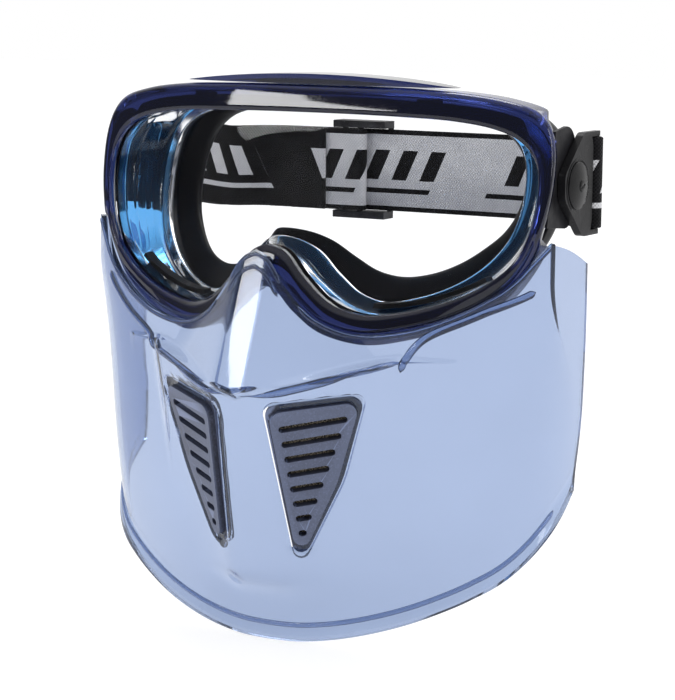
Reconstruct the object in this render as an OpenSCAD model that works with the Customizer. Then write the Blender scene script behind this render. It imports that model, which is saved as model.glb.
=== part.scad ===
// Safety goggles with a clip-on lower face shield and an elastic head strap.
// Millimetres. +X is the right side of the view from the front, -Y is forwards, +Z is up.
// The origin is the face datum: mid-height of the eyes, where the brow pad meets the forehead.

/* [Goggle frame] */
// Reach of the brow in front of the face datum
brow_reach = 34; // [32:0.5:36]
// Height of the brow line
brow_z = 36.5; // [36:0.5:37]
// Drop from the brow line to the lowest rim
frame_drop = 77; // [75:1:79]
// How far the lowest rim leans out in front of the brow
lean = 27; // [25:0.5:28]
// Plan radius of the frame at the brow
brow_r = 300; // [280:5:320]
// Plan radius of the frame at the cheeks
cheek_r = 95; // [92:1:100]
// How far the nose arch stands out
nose_push = 9; // [8:0.5:10]
// Half width of the nose arch's bulge
nose_w = 22; // [20:1:24]
// Depth of the outer rim's side wall
rim_depth = 10.5; // [9:0.5:11]
// Thickness of the outer rim's front band
band_t = 3.3; // [2.5:0.1:3.4]
// Thickness of the lens
lens_t = 2; // [1.6:0.1:2.2]

/* [Face side] */
// Plan radius of the wearer's brow
head_brow_r = 100; // [95:1:110]
// Plan radius of the wearer's cheeks
head_cheek_r = 57; // [54:1:60]
// How far the cheek line stands in front of the brow
head_lean = 42; // [38:1:44]
// How far the bridge of the nose stands out
head_nose = 22; // [18:1:24]
// Share of the depth taken by the inner frame, the rest is the face seal
frame_share = 0.55; // [0.5:0.01:0.6]

/* [Face shield] */
// Half width of the shield
shield_w = 87.6; // [87.4:0.1:88]
// Wall thickness of the shield
shield_t = 2; // [1.5:0.1:2.2]
// Plan radius of the shield's front
shield_r = 110; // [106:1:114]
// Reach of the shield's mid-line in front of the face datum
shield_reach = 63.2; // [62.5:0.1:65]
// Yaw slope of each vent face
vent_slope = 0.62; // [0.55:0.01:0.7]
// How far the rolled lip flares out
lip_flare = 2.2; // [1:0.1:3]

/* [Vents] */
// Thickness of a grille plate
grille_t = 2.2; // [1.6:0.1:2.6]
// Number of slots in a grille
slot_count = 8; // [6:1:9]
// Height of a slot
slot_h = 2.2; // [1.6:0.1:2.6]
// Distance from slot to slot
slot_pitch = 5.2; // [4.8:0.1:5.4]

/* [Strap pivots] */
// Pivot axis in front of (negative) or behind the face datum
pivot_y = -8.6; // [-9.5:0.1:-8]
// Height of the pivot axis
pivot_z = 9.7; // [8:0.1:11]
// Radius of the pivot pin
pin_r = 2.5; // [2:0.1:3]
// Running clearance round the pin
pin_gap = 0.05; // [0.02:0.01:0.09]
// Radius of the pin's round cap
cap_r = 7.8; // [6:0.1:8]

/* [Strap] */
// Width of the webbing
strap_w = 30; // [25:1:30]
// Thickness of the webbing
strap_t = 1.2; // [1:0.1:1.4]
// Distance from the face datum back to the rear run of the strap
strap_back = 64.4; // [60:0.1:75]
// Height of the rear run's middle
strap_back_z = 5; // [3:0.5:9]
// Middle of the slider across the rear run
slider_x = -31; // [-32:1:-25]

/* [Hidden] */
$fn = 64;

navy = "#1c2b6e";
sky = "#3f96dc";
black = "#17171a";
slate = "#4a4f63";
ice = "#a9c2e8";

// Outlines in the front view, [x, z], from the top middle round the right side to the bottom middle.
// Edge of the lens opening.
lens_half = [[0, 31.6], [18, 31.5], [36, 31.1], [52, 30.3], [65.5, 28.2], [75, 24.2], [80.6, 17],
    [81.8, 6.5], [80, -5], [75.4, -14.5], [66.8, -21.9], [56, -27.2], [44, -30.6], [32, -31.6],
    [22, -28], [13.5, -20.3], [6.5, -12.5], [0, -10.2]];
// Outside of the front rim.
rim_half = [[0, 40.4], [18, 40.4], [36, 40.2], [53, 39.4], [68.5, 37.3], [80.2, 33.2], [85.4, 24],
    [86, 8.5], [83.1, -8], [78.6, -18.6], [71.6, -27.9], [60.5, -34.6], [47, -39.2], [33, -41.4],
    [20, -38.2], [10.8, -31.4], [5, -25.8], [0, -23.8]];
// Inside of the face seal.
seal_half = [[0, 30.5], [15, 31], [30, 30.5], [43, 29], [53, 25.5], [60, 19], [62.8, 10],
    [62.5, 1], [59.5, -7], [54, -13], [48, -17.5], [41, -20.5], [33, -21.5], [25, -19.5],
    [18, -15], [11.5, -9.5], [6, -6.5], [0, -5.5]];
// Outside of the face seal and of the inner frame's back.
back_half = [[0, 39.5], [17, 39.5], [33, 39], [47, 37.5], [59.5, 34], [69, 28], [74, 19.5], [75.6, 8],
    [74.6, -3.5], [71.5, -13], [65.5, -21.5], [57, -28.5], [46.3, -33.5], [33, -36], [21.5, -32.5],
    [12.5, -25], [6, -17.5], [0, -15]];
ring_steps = 3;     // samples between two outline points
lens_mid = [0, 14]; // the lens fans out from here

// Depths behind the frame's front surface, and where the band sits in the rim's width.
lens_d = band_t + 0.2;
gasket_d = lens_d + lens_t + 0.25;
inner_d = gasket_d + 0.95;
lens_lap = 0.3;
side_depth = 4.2;    // the side walls are shallower, in front of the lugs
side_flare = -0.7;
rebate_z = -6;      // the shield laps the rim below this height
rebate = 2.1;
seal_gap = 0.063;   // share of the depth between the inner frame and the seal

// Shield outline against the distance q along the plan curve from the middle.
q_front = 70;
q_corner = 100;
q_end = 114;
wall_y = [-26, -3];  // where the flat side wall of the shield starts, at the top and low down
shield_top = [[0, -11], [5, -13.8], [11, -22.5], [20, -32.3], [32.5, -37.2], [47, -36],
    [60, -31.6], [70, -26.1], [77, -20.5], [84, -13.5], [91, -8.8], [96, -7.6], [102, -9],
    [108, -12], [114, -16.5]];
shield_bottom = [[0, -142], [12, -141.6], [24, -140], [36, -137.4], [48, -133.8], [58, -129.8],
    [68, -124.8], [76, -119.2], [83, -112.5], [90, -104.5], [97, -96], [103, -88], [108, -80.5],
    [112, -73], [114, -66]];
nose_slope = 0.75;
nose_flat = 5.8;       // half width of the flat front of the nose
nose_blend = 2;
nose_tilt = 0.4;
nose_top = [-70, -22];    // y and z of the top of the nose ridge
muzzle_top = [-78.5, -60];
muzzle_tilt = 0.25;
ridge_half = 10;          // half width of the flat between the vent faces
vent_yaw = atan(vent_slope);
vent_pitch = 12;
slot_tilt = 10;

// Lug, clip and strap places across the width.
lug_in = 80.8;
lug_out = 84.2;
lug_z = [-4.2, 29];
clip_in = 84.6;
clip_out = 87.2;
bar_x = 86;
bar_y = 7.4;
bar_r = 1.4;
slider_bar_r = 1.1;
slider_half = 10.8;
return_y = strap_back - 6.8;
tail_y = strap_back - 3.2;

// ---------- helper maths ----------
function clamp(v, lo, hi) = min(max(v, lo), hi);
function mix(a, b, t) = a + (b - a) * t;
function smooth(a, b, v) = let (t = clamp((v - a) / (b - a), 0, 1)) t * t * (3 - 2 * t);
function soft_min(a, b, k) = let (h = clamp(0.5 + 0.5 * (b - a) / k, 0, 1)) mix(b, a, h) - k * h * (1 - h);
function soft_pos(v, k) = (v + sqrt(v * v + k * k)) / 2;
function knot(q, p, i = 0) = i >= len(p) - 2 || q <= p[i + 1][0] ? i : knot(q, p, i + 1);
function slope_at(p, i) = let (a = max(i - 1, 0), b = min(i + 1, len(p) - 1))
    (p[b][1] - p[a][1]) / (p[b][0] - p[a][0]);
function spline(q, p) = let (
    i = knot(q, p), h = p[i + 1][0] - p[i][0], t = (q - p[i][0]) / h,
    m0 = slope_at(p, i) * h, m1 = slope_at(p, i + 1) * h, s = t * t, c = s * t)
    (2 * c - 3 * s + 1) * p[i][1] + (c - 2 * s + t) * m0 + (3 * s - 2 * c) * p[i + 1][1] + (c - s) * m1;
function catmull(a, b, c, d, t) =
    0.5 * (2 * b + (c - a) * t + (2 * a - 5 * b + 4 * c - d) * t * t + (3 * b - a - 3 * c + d) * t * t * t);

// A closed outline from its right half.
function ring(half) = let (
    r = concat(half, [for (i = [len(half) - 2 : -1 : 1]) [-half[i][0], half[i][1]]]), n = len(r))
    [for (i = [0 : n - 1], j = [0 : ring_steps - 1])
        catmull(r[(i + n - 1) % n], r[i], r[(i + 1) % n], r[(i + 2) % n], j / ring_steps)];
// The outline moved towards its inside.
function inset(p, d) = let (n = len(p)) [for (i = [0 : n - 1])
    let (t = p[(i + 1) % n] - p[(i + n - 1) % n]) p[i] + d * [t[1], -t[0]] / norm(t)];

lens_ring = ring(lens_half);
rim_ring = ring(rim_half);
seal_ring = ring(seal_half);
back_ring = ring(back_half);
back_inset = inset(back_ring, 2.6);
back_flange = inset(back_ring, 7);
rim_inset = inset(rim_ring, 2);
last = len(lens_ring) - 1;

// ---------- surfaces ----------
// Front of the goggles at [x, z].
function front_y(p) = let (
    t = clamp((brow_z - p[1]) / frame_drop, -0.1, 1.1), u = clamp(t, 0, 1))
    -brow_reach - lean * t + p[0] * p[0] / (2 * mix(brow_r, cheek_r, u))
    - nose_push * exp(-pow(p[0] / nose_w, 2)) * smooth(0.15, 0.6, t);
// The wearer's face at [x, z].
function head_y(p) = let (
    t = clamp((brow_z - p[1]) / frame_drop, -0.1, 1.1), u = clamp(t, 0, 1))
    -head_lean * t + p[0] * p[0] / (2 * mix(head_brow_r, head_cheek_r, u))
    - head_nose * exp(-pow(p[0] / 13, 2)) * smooth(0.2, 0.5, t);
// How far the lens seat reaches across the rim; less at the sides, to leave room for the lugs.
function seat(p) = mix(0.5, 0.14, smooth(74, 81, abs(p[0])));
// A point a fixed depth behind the front surface.
function deep(p, d) = [p[0], front_y(p) + d, p[1]];
// A point at a share g of the way from the inner frame's front to the face.
function share(p, g) = [p[0], mix(front_y(p) + inner_d, head_y(p), g), p[1]];
function mid_y(z) = -shield_reach + 0.00104 * pow(z + 52, 2);
function half_w(z) = shield_w - 0.0006 * pow(min(z + 30, 0), 2);
function bezier(a, b, c, t) = (1 - t) * (1 - t) * a + 2 * t * (1 - t) * b + t * t * c;
// Plan curve of the plain shield at distance q and height z, as [x, y].
function plan(q, z) = let (
    k = half_w(z) / shield_w,
    y1 = mid_y(z) + q_front * q_front / (2 * shield_r),
    y2 = y1 + (shield_w - q_front) * q_front / shield_r,
    t = (q - q_front) / (q_corner - q_front), y3 = mix(wall_y[0], wall_y[1], smooth(-20, -70, z)))
    q <= q_front ? [q * k, mid_y(z) + q * q / (2 * shield_r)] :
    q <= q_corner ? [k * bezier(q_front, shield_w, shield_w, t), bezier(y1, y2, y3, t)] :
    [shield_w * k, y3 * (q_end - q) / (q_end - q_corner)];
function nose_y(x, z) = nose_top[0] + nose_tilt * (z - nose_top[1])
    + nose_slope * soft_pos(abs(x) - nose_flat, nose_blend);
function muzzle_y(x, z) = muzzle_top[0] - muzzle_tilt * (z - muzzle_top[1])
    + vent_slope * soft_pos(abs(x) - ridge_half, 4) + 10 * smooth(-119, -136, z) + 5 * smooth(40, 49, abs(x));
// The shield's outer surface.
function shield_point(q, z) = let (
    p = plan(abs(q), z), x = p[0], s = q < 0 ? -1 : 1,
    w = smooth(lip_line(x) - 1.8, lip_line(x) + 1.8, z))
    [s * x, x > 62 ? p[1] : soft_min(p[1], mix(muzzle_y(x, z), nose_y(x, z), w), 3), z];

// ---------- solids from points ----------
// A ring-shaped solid: rows holds one closed section for each step round the ring.
module closed_sweep(rows) {
    n = len(rows);
    m = len(rows[0]);
    polyhedron([for (r = rows) each r], [for (i = [0 : n - 1], j = [0 : m - 1])
        let (a = i * m + j, b = i * m + (j + 1) % m, c = ((i + 1) % n) * m + (j + 1) % m,
            d = ((i + 1) % n) * m + j) each [[a, b, c], [a, c, d]]], convexity = 12);
}

// A solid with two ends: rows holds one convex section for each step along it.
module open_sweep(rows) {
    n = len(rows);
    m = len(rows[0]);
    polyhedron([for (r = rows) each r], concat(
        [for (i = [0 : n - 2], j = [0 : m - 1])
            let (a = i * m + j, b = i * m + (j + 1) % m, c = (i + 1) * m + (j + 1) % m,
                d = (i + 1) * m + j) each [[a, b, c], [a, c, d]]],
        [[for (j = [m - 1 : -1 : 0]) j]], [[for (j = [0 : m - 1]) (n - 1) * m + j]]), convexity = 12);
}

// A flat outline with rounded corners: points clockwise or not, one radius for each.
function round_corner(a, b, c, r) = let (
    u = (a - b) / norm(a - b), v = (c - b) / norm(c - b), half = acos(clamp(u * v, -1, 1)) / 2,
    m = b + (u + v) / norm(u + v) * r / sin(half), s = b + u * r / tan(half), e = b + v * r / tan(half),
    a0 = atan2(s[1] - m[1], s[0] - m[0]), a1 = atan2(e[1] - m[1], e[0] - m[0]),
    turn = (a1 - a0 + 540) % 360 - 180)
    [for (i = [0 : 5]) m + r * [cos(a0 + turn * i / 5), sin(a0 + turn * i / 5)]];
function rounded(p, radii) = let (n = len(p)) [for (i = [0 : n - 1])
    each round_corner(p[(i + n - 1) % n], p[i], p[(i + 1) % n], radii[i])];

module mirrored(left) {
    if (left) mirror([1, 0, 0]) children();
    else children();
}

// ---------- goggles ----------
module outer_frame() {
    color(navy) difference() {
        closed_sweep([for (i = [0 : last]) let (
            a = lens_ring[i], b = rim_ring[i], c = rim_inset[i],
            side = smooth(78, 83, abs(b[0])), low = smooth(rebate_z, rebate_z - 4, b[1]),
            out = [sign(b[0]) * side_flare * side * (1 - low), 0],
            depth = mix(rim_depth, side_depth, side * (1 - low)))
            [deep(a, 1), deep(mix(a, b, 0.14), 0), deep(mix(a, b, 0.5), 0),
                deep(mix(a, b, 0.58), rebate * low), deep(mix(a, b, 0.88), rebate * low),
                deep(b, 1.1 + rebate * low), deep(b + out, depth), deep(c + out, depth),
                deep(mix(a, b, 0.66), band_t + 0.1), deep(a, band_t)]]);
        brow_slots();
    }
}

// Air slots through the brow's top wall, under the hood.
brow_slot = [12, 4.6, 5];

module brow_slots() {
    for (x = [-36 : 18 : 36])
        translate([x - brow_slot[0] / 2, -brow_reach + 5.4, 38.4]) cube(brow_slot);
}

module lens() {
    shrink = [1, 0.88, 0.7, 0.48, 0.24];
    edge = [for (i = [0 : last]) mix(lens_ring[i], rim_ring[i], min(lens_lap, seat(rim_ring[i])))];
    n = last + 1;
    m = len(shrink);
    front = [for (s = shrink, p = edge) deep(mix(lens_mid, p, s), lens_d)];
    back = [for (s = shrink, p = edge) deep(mix(lens_mid, p, s), lens_d + lens_t)];
    hub = 2 * m * n;
    fan = [for (k = [0 : m - 2], i = [0 : last]) let (j = (i + 1) % n)
        each [[k * n + i, k * n + j, (k + 1) * n + j], [k * n + i, (k + 1) * n + j, (k + 1) * n + i]]];
    cap = [for (i = [0 : last]) [(m - 1) * n + i, (m - 1) * n + (i + 1) % n, hub]];
    front_faces = concat(fan, cap);
    back_faces = [for (f = front_faces) [for (v = [2, 1, 0]) f[v] == hub ? hub + 1 : f[v] + m * n]];
    edge_faces = [for (i = [0 : last]) let (j = (i + 1) % n)
        each [[i, m * n + i, m * n + j], [i, m * n + j, j]]];
    centre = [deep(lens_mid, lens_d), deep(lens_mid, lens_d + lens_t)];
    color("#dfe7ee", 0.4) polyhedron(concat(front, back, centre),
        concat(front_faces, back_faces, edge_faces), convexity = 10);
}

module lens_gasket() {
    color(black) closed_sweep([for (i = [0 : last]) let (a = lens_ring[i], b = rim_ring[i])
        [deep(mix(a, b, 0.02), gasket_d), deep(mix(a, b, seat(b)), gasket_d),
            deep(mix(a, b, seat(b)), gasket_d + 0.8), deep(mix(a, b, 0.02), gasket_d + 0.8)]]);
}

module inner_frame() {
    color(sky) closed_sweep([for (i = [0 : last]) let (
        a = lens_ring[i], b = rim_ring[i], c = back_ring[i], d = back_flange[i], e = back_inset[i])
        [share(mix(a, b, 0.15), 0), share(mix(a, b, seat(b)), 0), share(c, frame_share),
            share(d, frame_share), share(d, frame_share - 0.1), share(e, frame_share - 0.12),
            share(mix(a, b, 0.12), 0.12)]]);
}

module face_seal() {
    color(black) closed_sweep([for (i = [0 : last]) let (a = back_ring[i], b = seal_ring[i])
        [share(a, frame_share + seal_gap), share(mix(a, b, -0.02), 0.8), share(mix(a, b, 0.2), 0.97),
            share(mix(a, b, 0.55), 1), share(mix(a, b, 0.92), 0.95), share(b, 0.85),
            share(mix(a, b, 0.8), 0.74), share(mix(a, b, 0.5), frame_share + seal_gap)]]);
}

hood_half = [52, 7.4];
// A sine with squarer shoulders.
function squared(v) = abs(v) < 0.001 ? 0 : sign(v) * pow(abs(v), 0.8);
// Plan outline of the hood, [x, y], grown by g.
function hood_plan(g) = [for (i = [0 : 39]) let (a = i * 9)
    [(hood_half[0] + g) * cos(a), -brow_reach + 10 + (hood_half[1] + g) * squared(sin(a))]];
hood_base = 40.75;
hood_top = 44.2;
hood_wall = 1.3;
hood_r = 390;

module hood_dome(g) {
    intersection() {
        translate([0, 0, 40]) linear_extrude(8) polygon(hood_plan(g));
        translate([0, 0, hood_top + g - hood_r]) rotate([90, 0, 0])
            cylinder(h = 80, r = hood_r, center = true, $fn = 200);
    }
}

module top_vent_cover() {
    color(navy) difference() {
        intersection() {
            hood_dome(0);
            translate([-60, -60, hood_base]) cube([120, 60, 10]);
        }
        translate([0, 0, -0.3]) hood_dome(-hood_wall);
    }
}

module top_vent_filter() {
    filter_half = 22;
    color("#2b2d33") translate([0, 0, hood_base + 0.05]) linear_extrude(0.9) intersection() {
        polygon(hood_plan(-2));
        translate([-filter_half, -2 * brow_reach]) square([2 * filter_half, 2 * brow_reach]);
    }
}

baffle_x = [-42.5, 0, 42.5];
baffle_half = 4.2;

module vent_baffles() {
    color(black) for (x = baffle_x)
        open_sweep([for (dx = [-baffle_half, baffle_half]) let (top = 36.9 - 0.004 * abs(x))
            [deep([x + dx, 35.3], lens_d + 0.1), deep([x + dx, top], lens_d + 0.1),
                deep([x + dx, top], lens_d + 1.8), deep([x + dx, 35.3], lens_d + 1.8)]]);
}

// A duct along the inside of the lower rim, between two samples of the outline.
module lower_vent() {
    first = 30;
    end = 39;
    front = inner_d + 1.6;
    back = inner_d + 6.5;
    outside = inset(lens_ring, 1.4);
    inside = inset(lens_ring, 3);
    color(black) open_sweep([for (i = [first : end])
        [deep(outside[i], front), deep(outside[i], back), deep(inside[i], back), deep(inside[i], front)]]);
}

module left_lower_vent() mirrored(true) lower_vent();
module right_lower_vent() lower_vent();

// ---------- strap pivots ----------
module across(x0, x1, r) {
    translate([x0, pivot_y, pivot_z]) rotate([0, 90, 0]) cylinder(h = x1 - x0, r = r);
}

// The wing follows the back of the frame's side wall; its outline is [y, z].
module lug() {
    boss_r = 4.4;
    wing_t = 1.3;
    wing_y = -4.4;
    corner = 7;
    wing_gap = -0.1;
    front = [for (p = rim_ring) if (p[0] > 80 && p[1] > lug_z[0] && p[1] < lug_z[1])
        [front_y(p) + side_depth + wing_gap, p[1]]];
    back = [for (a = [0 : 15 : 90]) [wing_y - corner * (1 - sin(a)), lug_z[0] + corner * (1 - cos(a))]];
    top = [for (a = [90 : -15 : 0]) [wing_y - corner * (1 - sin(a)), lug_z[1] - corner * (1 - cos(a))]];
    color(black) difference() {
        union() {
            translate([lug_out - wing_t, 0, 0]) rotate([90, 0, 90]) linear_extrude(wing_t)
                polygon(concat(front, back, top));
            across(lug_in, lug_out, boss_r);
        }
        across(lug_in - 1, lug_out + 1, pin_r);
    }
}

module left_lug() mirrored(true) lug();
module right_lug() lug();

module pivot_pin() {
    cap_h = 1.6;
    dome_r = 26;
    color(black) {
        across(lug_in, clip_out + 0.1, pin_r);
        translate([clip_out + 0.1, pivot_y, pivot_z]) rotate([0, 90, 0]) intersection() {
            cylinder(h = cap_h, r = cap_r);
            translate([0, 0, cap_h - dome_r]) sphere(r = dome_r, $fn = 120);
        }
    }
}

module left_pivot_pin() mirrored(true) pivot_pin();
module right_pivot_pin() pivot_pin();

module washer() {
    washer_r = 5.4;
    color("#8c8f96") difference() {
        across(lug_out + 0.05, clip_in - 0.05, washer_r);
        across(lug_out, clip_in, pin_r + 0.1);
    }
}

module left_washer() mirrored(true) washer();
module right_washer() washer();

// Side outline of the clip, [y, z].
clip_front = -18.6;
clip_back = 3.4;
clip_half = 17;
function clip_outline() = rounded([[clip_front, pivot_z + 4], [clip_back - 7.5, pivot_z + clip_half],
    [clip_back - 1.6, pivot_z + clip_half], [clip_back, pivot_z + 12], [clip_back, pivot_z - 12],
    [clip_back - 1.6, pivot_z - clip_half], [clip_back - 7.5, pivot_z - clip_half],
    [clip_front, pivot_z - 4]],
    [4, 5, 2, 1.6, 1.6, 2, 5, 4]);

// A shaped plate with two arms that carry the bar the webbing folds round.
module strap_clip() {
    slot_half = strap_w / 2 + 0.35;
    arm = 1.7;
    arm_y = clip_back - 4;
    color(black) difference() {
        union() {
            translate([clip_in, 0, 0]) rotate([90, 0, 90]) linear_extrude(clip_out - clip_in)
                polygon(clip_outline());
            for (z = [pivot_z + slot_half, pivot_z - slot_half - arm])
                translate([clip_in + 0.4, arm_y, z])
                    cube([clip_out - clip_in - 0.4, bar_y + bar_r - arm_y, arm]);
            translate([bar_x, bar_y, pivot_z - slot_half - 0.5]) cylinder(h = 2 * slot_half + 1, r = bar_r);
        }
        across(clip_in - 1, clip_out + 1, pin_r + pin_gap);
    }
}

module left_strap_clip() mirrored(true) strap_clip();
module right_strap_clip() strap_clip();

// ---------- strap ----------
function arc(c, r, a0, a1, n) = [for (i = [0 : n]) let (a = mix(a0, a1, i / n)) c + r * [cos(a), sin(a)]];
wrap_r = bar_r + 0.15 + strap_t / 2;
right_turn = 28;      // angle at which the webbing leaves each clip, inwards
left_turn = 12;
right_corner = 45;
left_corner = 26;
return_corner = 19.5;
// Where the sewn end lies beside the bar: offset outwards and distance behind the bar.
sewn = [[-0.6, 17], [-0.6, 10.5], [0.9, 6]];
// Middle of the corner arc that meets the rear run at height y and leaves the point p at an angle.
function corner_mid(p, turn, r, y) = let (run = (y - r * (1 - sin(turn)) - p[1]) / cos(turn))
    [p[0] - run * sin(turn) - r * cos(turn), y - r];
// A point beside a bar, in the turned direction of the webbing.
function by_bar(turn, side, along) = [bar_x, bar_y]
    + side * [cos(turn), sin(turn)] + along * [-sin(turn), cos(turn)];
right_mid = corner_mid(by_bar(right_turn, -wrap_r, 0), right_turn, right_corner, strap_back);
left_mid = corner_mid(by_bar(left_turn, wrap_r, 0), left_turn, left_corner, strap_back);
return_mid = corner_mid(by_bar(left_turn, -wrap_r, 0), left_turn, return_corner, return_y);
// The webbing's middle in plan, from its sewn end outside the right clip to the end of the folded part.
strap_route = concat(
    [for (p = sewn) by_bar(right_turn, p[0], p[1])],
    arc([bar_x, bar_y], wrap_r, right_turn, right_turn - 180, 8),
    arc(right_mid, right_corner, right_turn, 90, 10),
    arc([-left_mid[0], left_mid[1]], left_corner, 90, 180 - left_turn, 10),
    arc([-bar_x, bar_y], wrap_r, 180 - left_turn, 360 - left_turn, 8),
    arc([-return_mid[0], return_mid[1]], return_corner, 180 - left_turn, 90, 10),
    [[slider_x - 13, return_y]]);

// A flat band of webbing along a route in plan; its height falls from the clips to the rear run.
module webbing(route) {
    n = len(route);
    open_sweep([for (i = [0 : n - 1]) let (
        p = route[i], t = route[min(i + 1, n - 1)] - route[max(i - 1, 0)],
        o = strap_t / 2 * [t[1], -t[0]] / norm(t),
        z = mix(pivot_z, strap_back_z, smooth(14, 50, p[1])), h = strap_w / 2)
        [[p[0] - o[0], p[1] - o[1], z - h], [p[0] + o[0], p[1] + o[1], z - h],
            [p[0] + o[0], p[1] + o[1], z + h], [p[0] - o[0], p[1] - o[1], z + h]]]);
}

module strap() {
    color("#2a2a2e") webbing(strap_route);
}

// The bar tack across the right clip's sewn fold.
module strap_stitching() {
    tack = [0.35, 2, 23];
    side = sewn[0][0] + strap_t / 2 + 0.03;
    color("#e8e8ee") translate([each by_bar(right_turn, side, 13), 0]) rotate([0, 0, right_turn])
        translate([0, 0, pivot_z - tack[2] / 2]) cube(tack);
}

// Two rails joined by three bars.
module strap_adjuster() {
    rail = [2 * slider_half, 7.6, 2.6];
    slot_half = strap_w / 2 + 0.4;
    bar_z = strap_back_z - slot_half - 0.5;
    color(black) {
        for (z = [strap_back_z + slot_half, strap_back_z - slot_half - rail[2]])
            translate([slider_x - slider_half, tail_y - 1.6, z]) cube(rail);
        for (x = [-1, 1])
            translate([slider_x + x * (slider_half - slider_bar_r - 0.1), strap_back + 2.5, bar_z])
                cylinder(h = 2 * slot_half + 1, r = slider_bar_r);
        translate([slider_x, tail_y, bar_z]) cylinder(h = 2 * slot_half + 1, r = slider_bar_r);
    }
}

module strap_tail() {
    fold_r = slider_bar_r + 0.1 + strap_t / 2;
    color("#2a2a2e") webbing(concat([[slider_x - 12, tail_y + fold_r]],
        arc([slider_x, tail_y], fold_r, 90, -90, 8), [[slider_x - 16, tail_y - fold_r]]));
}

// ---------- face shield ----------
// Columns run from the left rear edge round the front to the right rear edge.
half_columns = concat([for (i = [1 : 15]) q_front * pow(i / 15, 1.3)],
    [for (i = [1 : 6]) mix(q_front, q_corner, i / 6)], [q_corner + 7, q_end]);
columns = concat([for (i = [len(half_columns) - 1 : -1 : 0]) -half_columns[i]], [0], half_columns);
// Rows run from the top edge (0) to just above the nose's lower lip (1), below it (2) and the bottom (3).
rows_v = concat([for (i = [0 : 8]) i / 8], [1.25, 1.5, 1.75, 2], [for (i = [1 : 19]) 2 + i / 19]);
function lip_line(x) = -57 + 0.28 * min(x, 46);
function row_z(q, v) = let (a = spline(q, shield_top), b = lip_line(q), c = spline(q, shield_bottom))
    v <= 1 ? mix(a, b + 2, v) : v <= 2 ? mix(b + 2, b - 2, v - 1) : mix(b - 2, c, v - 2);

function grid_point(q, v) = shield_point(q, row_z(abs(q), v));
function grid_normal(q, v) = let (
    dq = grid_point(min(q + 0.3, q_end), v) - grid_point(max(q - 0.3, -q_end), v),
    dv = grid_point(q, min(v + 0.02, 3)) - grid_point(q, max(v - 0.02, 0)), n = cross(dv, dq))
    n / norm(n);
function lip_offset(q, v) = lip_flare * smooth(106, 88, abs(q))
    * smooth(7, 0, row_z(abs(q), v) - spline(abs(q), shield_bottom));

module shield_shell() {
    w = len(columns);
    h = len(rows_v);
    n = w * h;
    outer = [for (v = rows_v, q = columns) grid_point(q, v) + lip_offset(q, v) * grid_normal(q, v)];
    inner = [for (v = rows_v, q = columns)
        grid_point(q, v) + (lip_offset(q, v) - shield_t) * grid_normal(q, v)];
    skin = [for (j = [0 : h - 2], i = [0 : w - 2]) let (a = j * w + i)
        each [[a, a + w, a + w + 1], [a, a + w + 1, a + 1]]];
    rim = concat([for (i = [0 : w - 1]) i], [for (j = [1 : h - 1]) j * w + w - 1],
        [for (i = [w - 2 : -1 : 0]) (h - 1) * w + i], [for (j = [h - 2 : -1 : 1]) j * w]);
    k = len(rim);
    polyhedron(concat(outer, inner), concat([for (f = skin) [f[2], f[1], f[0]]],
        [for (f = skin) [f[0] + n, f[1] + n, f[2] + n]],
        [for (i = [0 : k - 1]) let (a = rim[i], b = rim[(i + 1) % k])
            each [[a, b, b + n], [a, b + n, a + n]]]), convexity = 12);
}

// Places a vent part: the local XZ plane becomes the outer face of the muzzle's right side.
module on_vent(left) {
    mirrored(left) translate([ridge_half, muzzle_top[0], muzzle_top[1]])
        rotate([vent_pitch, 0, vent_yaw]) children();
}

// Vent outline in its own plane, [x, z], grown by g.
function vent_outline(g) = let (s = 1.25 * g) rounded(
    [[1.6 - g, -2.2 + s], [31.4 + s, 2 + s], [24.6 + s, -26], [12.2, -55.5 - 2.2 * g]], [4, 3.5, 40, 3]);

module vent_plate(g, y0, y1) {
    translate([0, y1, 0]) rotate([90, 0, 0]) linear_extrude(y1 - y0) polygon(vent_outline(g));
}

module face_shield() {
    color(ice, 0.6) difference() {
        shield_shell();
        for (left = [false, true]) on_vent(left) {
            vent_plate(0.25, -8, 6);    // opening for the grille
            vent_plate(2.2, 1.3, 7);    // seat for its flange
        }
    }
}

// One slot: a bar with round ends, cut through the plate.
module slot(i) {
    z = -7.6 - i * slot_pitch;
    x0 = 5.2 + 0.19 * (-7.6 - z);
    x1 = 27.6 - 0.36 * (-7.6 - z);
    long = max(x1 - x0 - slot_h, 0.5);
    translate([x0 + slot_h / 2, 0, z]) rotate([0, -slot_tilt, 0]) {
        translate([0, -5, -slot_h / 2]) cube([long, 10, slot_h]);
        for (x = [0, long]) translate([x, 5, 0]) rotate([90, 0, 0])
            cylinder(h = 10, r = slot_h / 2, $fn = 24);
    }
}

module vent_grille(left) {
    color(slate) on_vent(left) difference() {
        union() {
            vent_plate(0, -0.6, grille_t - 0.6);
            vent_plate(1.5, 1.6, 2.6);
        }
        for (i = [0 : slot_count - 1]) slot(i);
    }
}

module left_vent_grille() vent_grille(true);
module right_vent_grille() vent_grille(false);

module vent_filter(left) {
    color("#6b6250") on_vent(left) vent_plate(-0.8, 2.7, 3.5);
}

module left_vent_filter() vent_filter(true);
module right_vent_filter() vent_filter(false);

module vent_retainer(left) {
    color(slate) on_vent(left) difference() {
        vent_plate(1.2, 3.6, 4.8);
        vent_plate(-2.4, 3, 6);
    }
}

module left_vent_retainer() vent_retainer(true);
module right_vent_retainer() vent_retainer(false);

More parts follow.
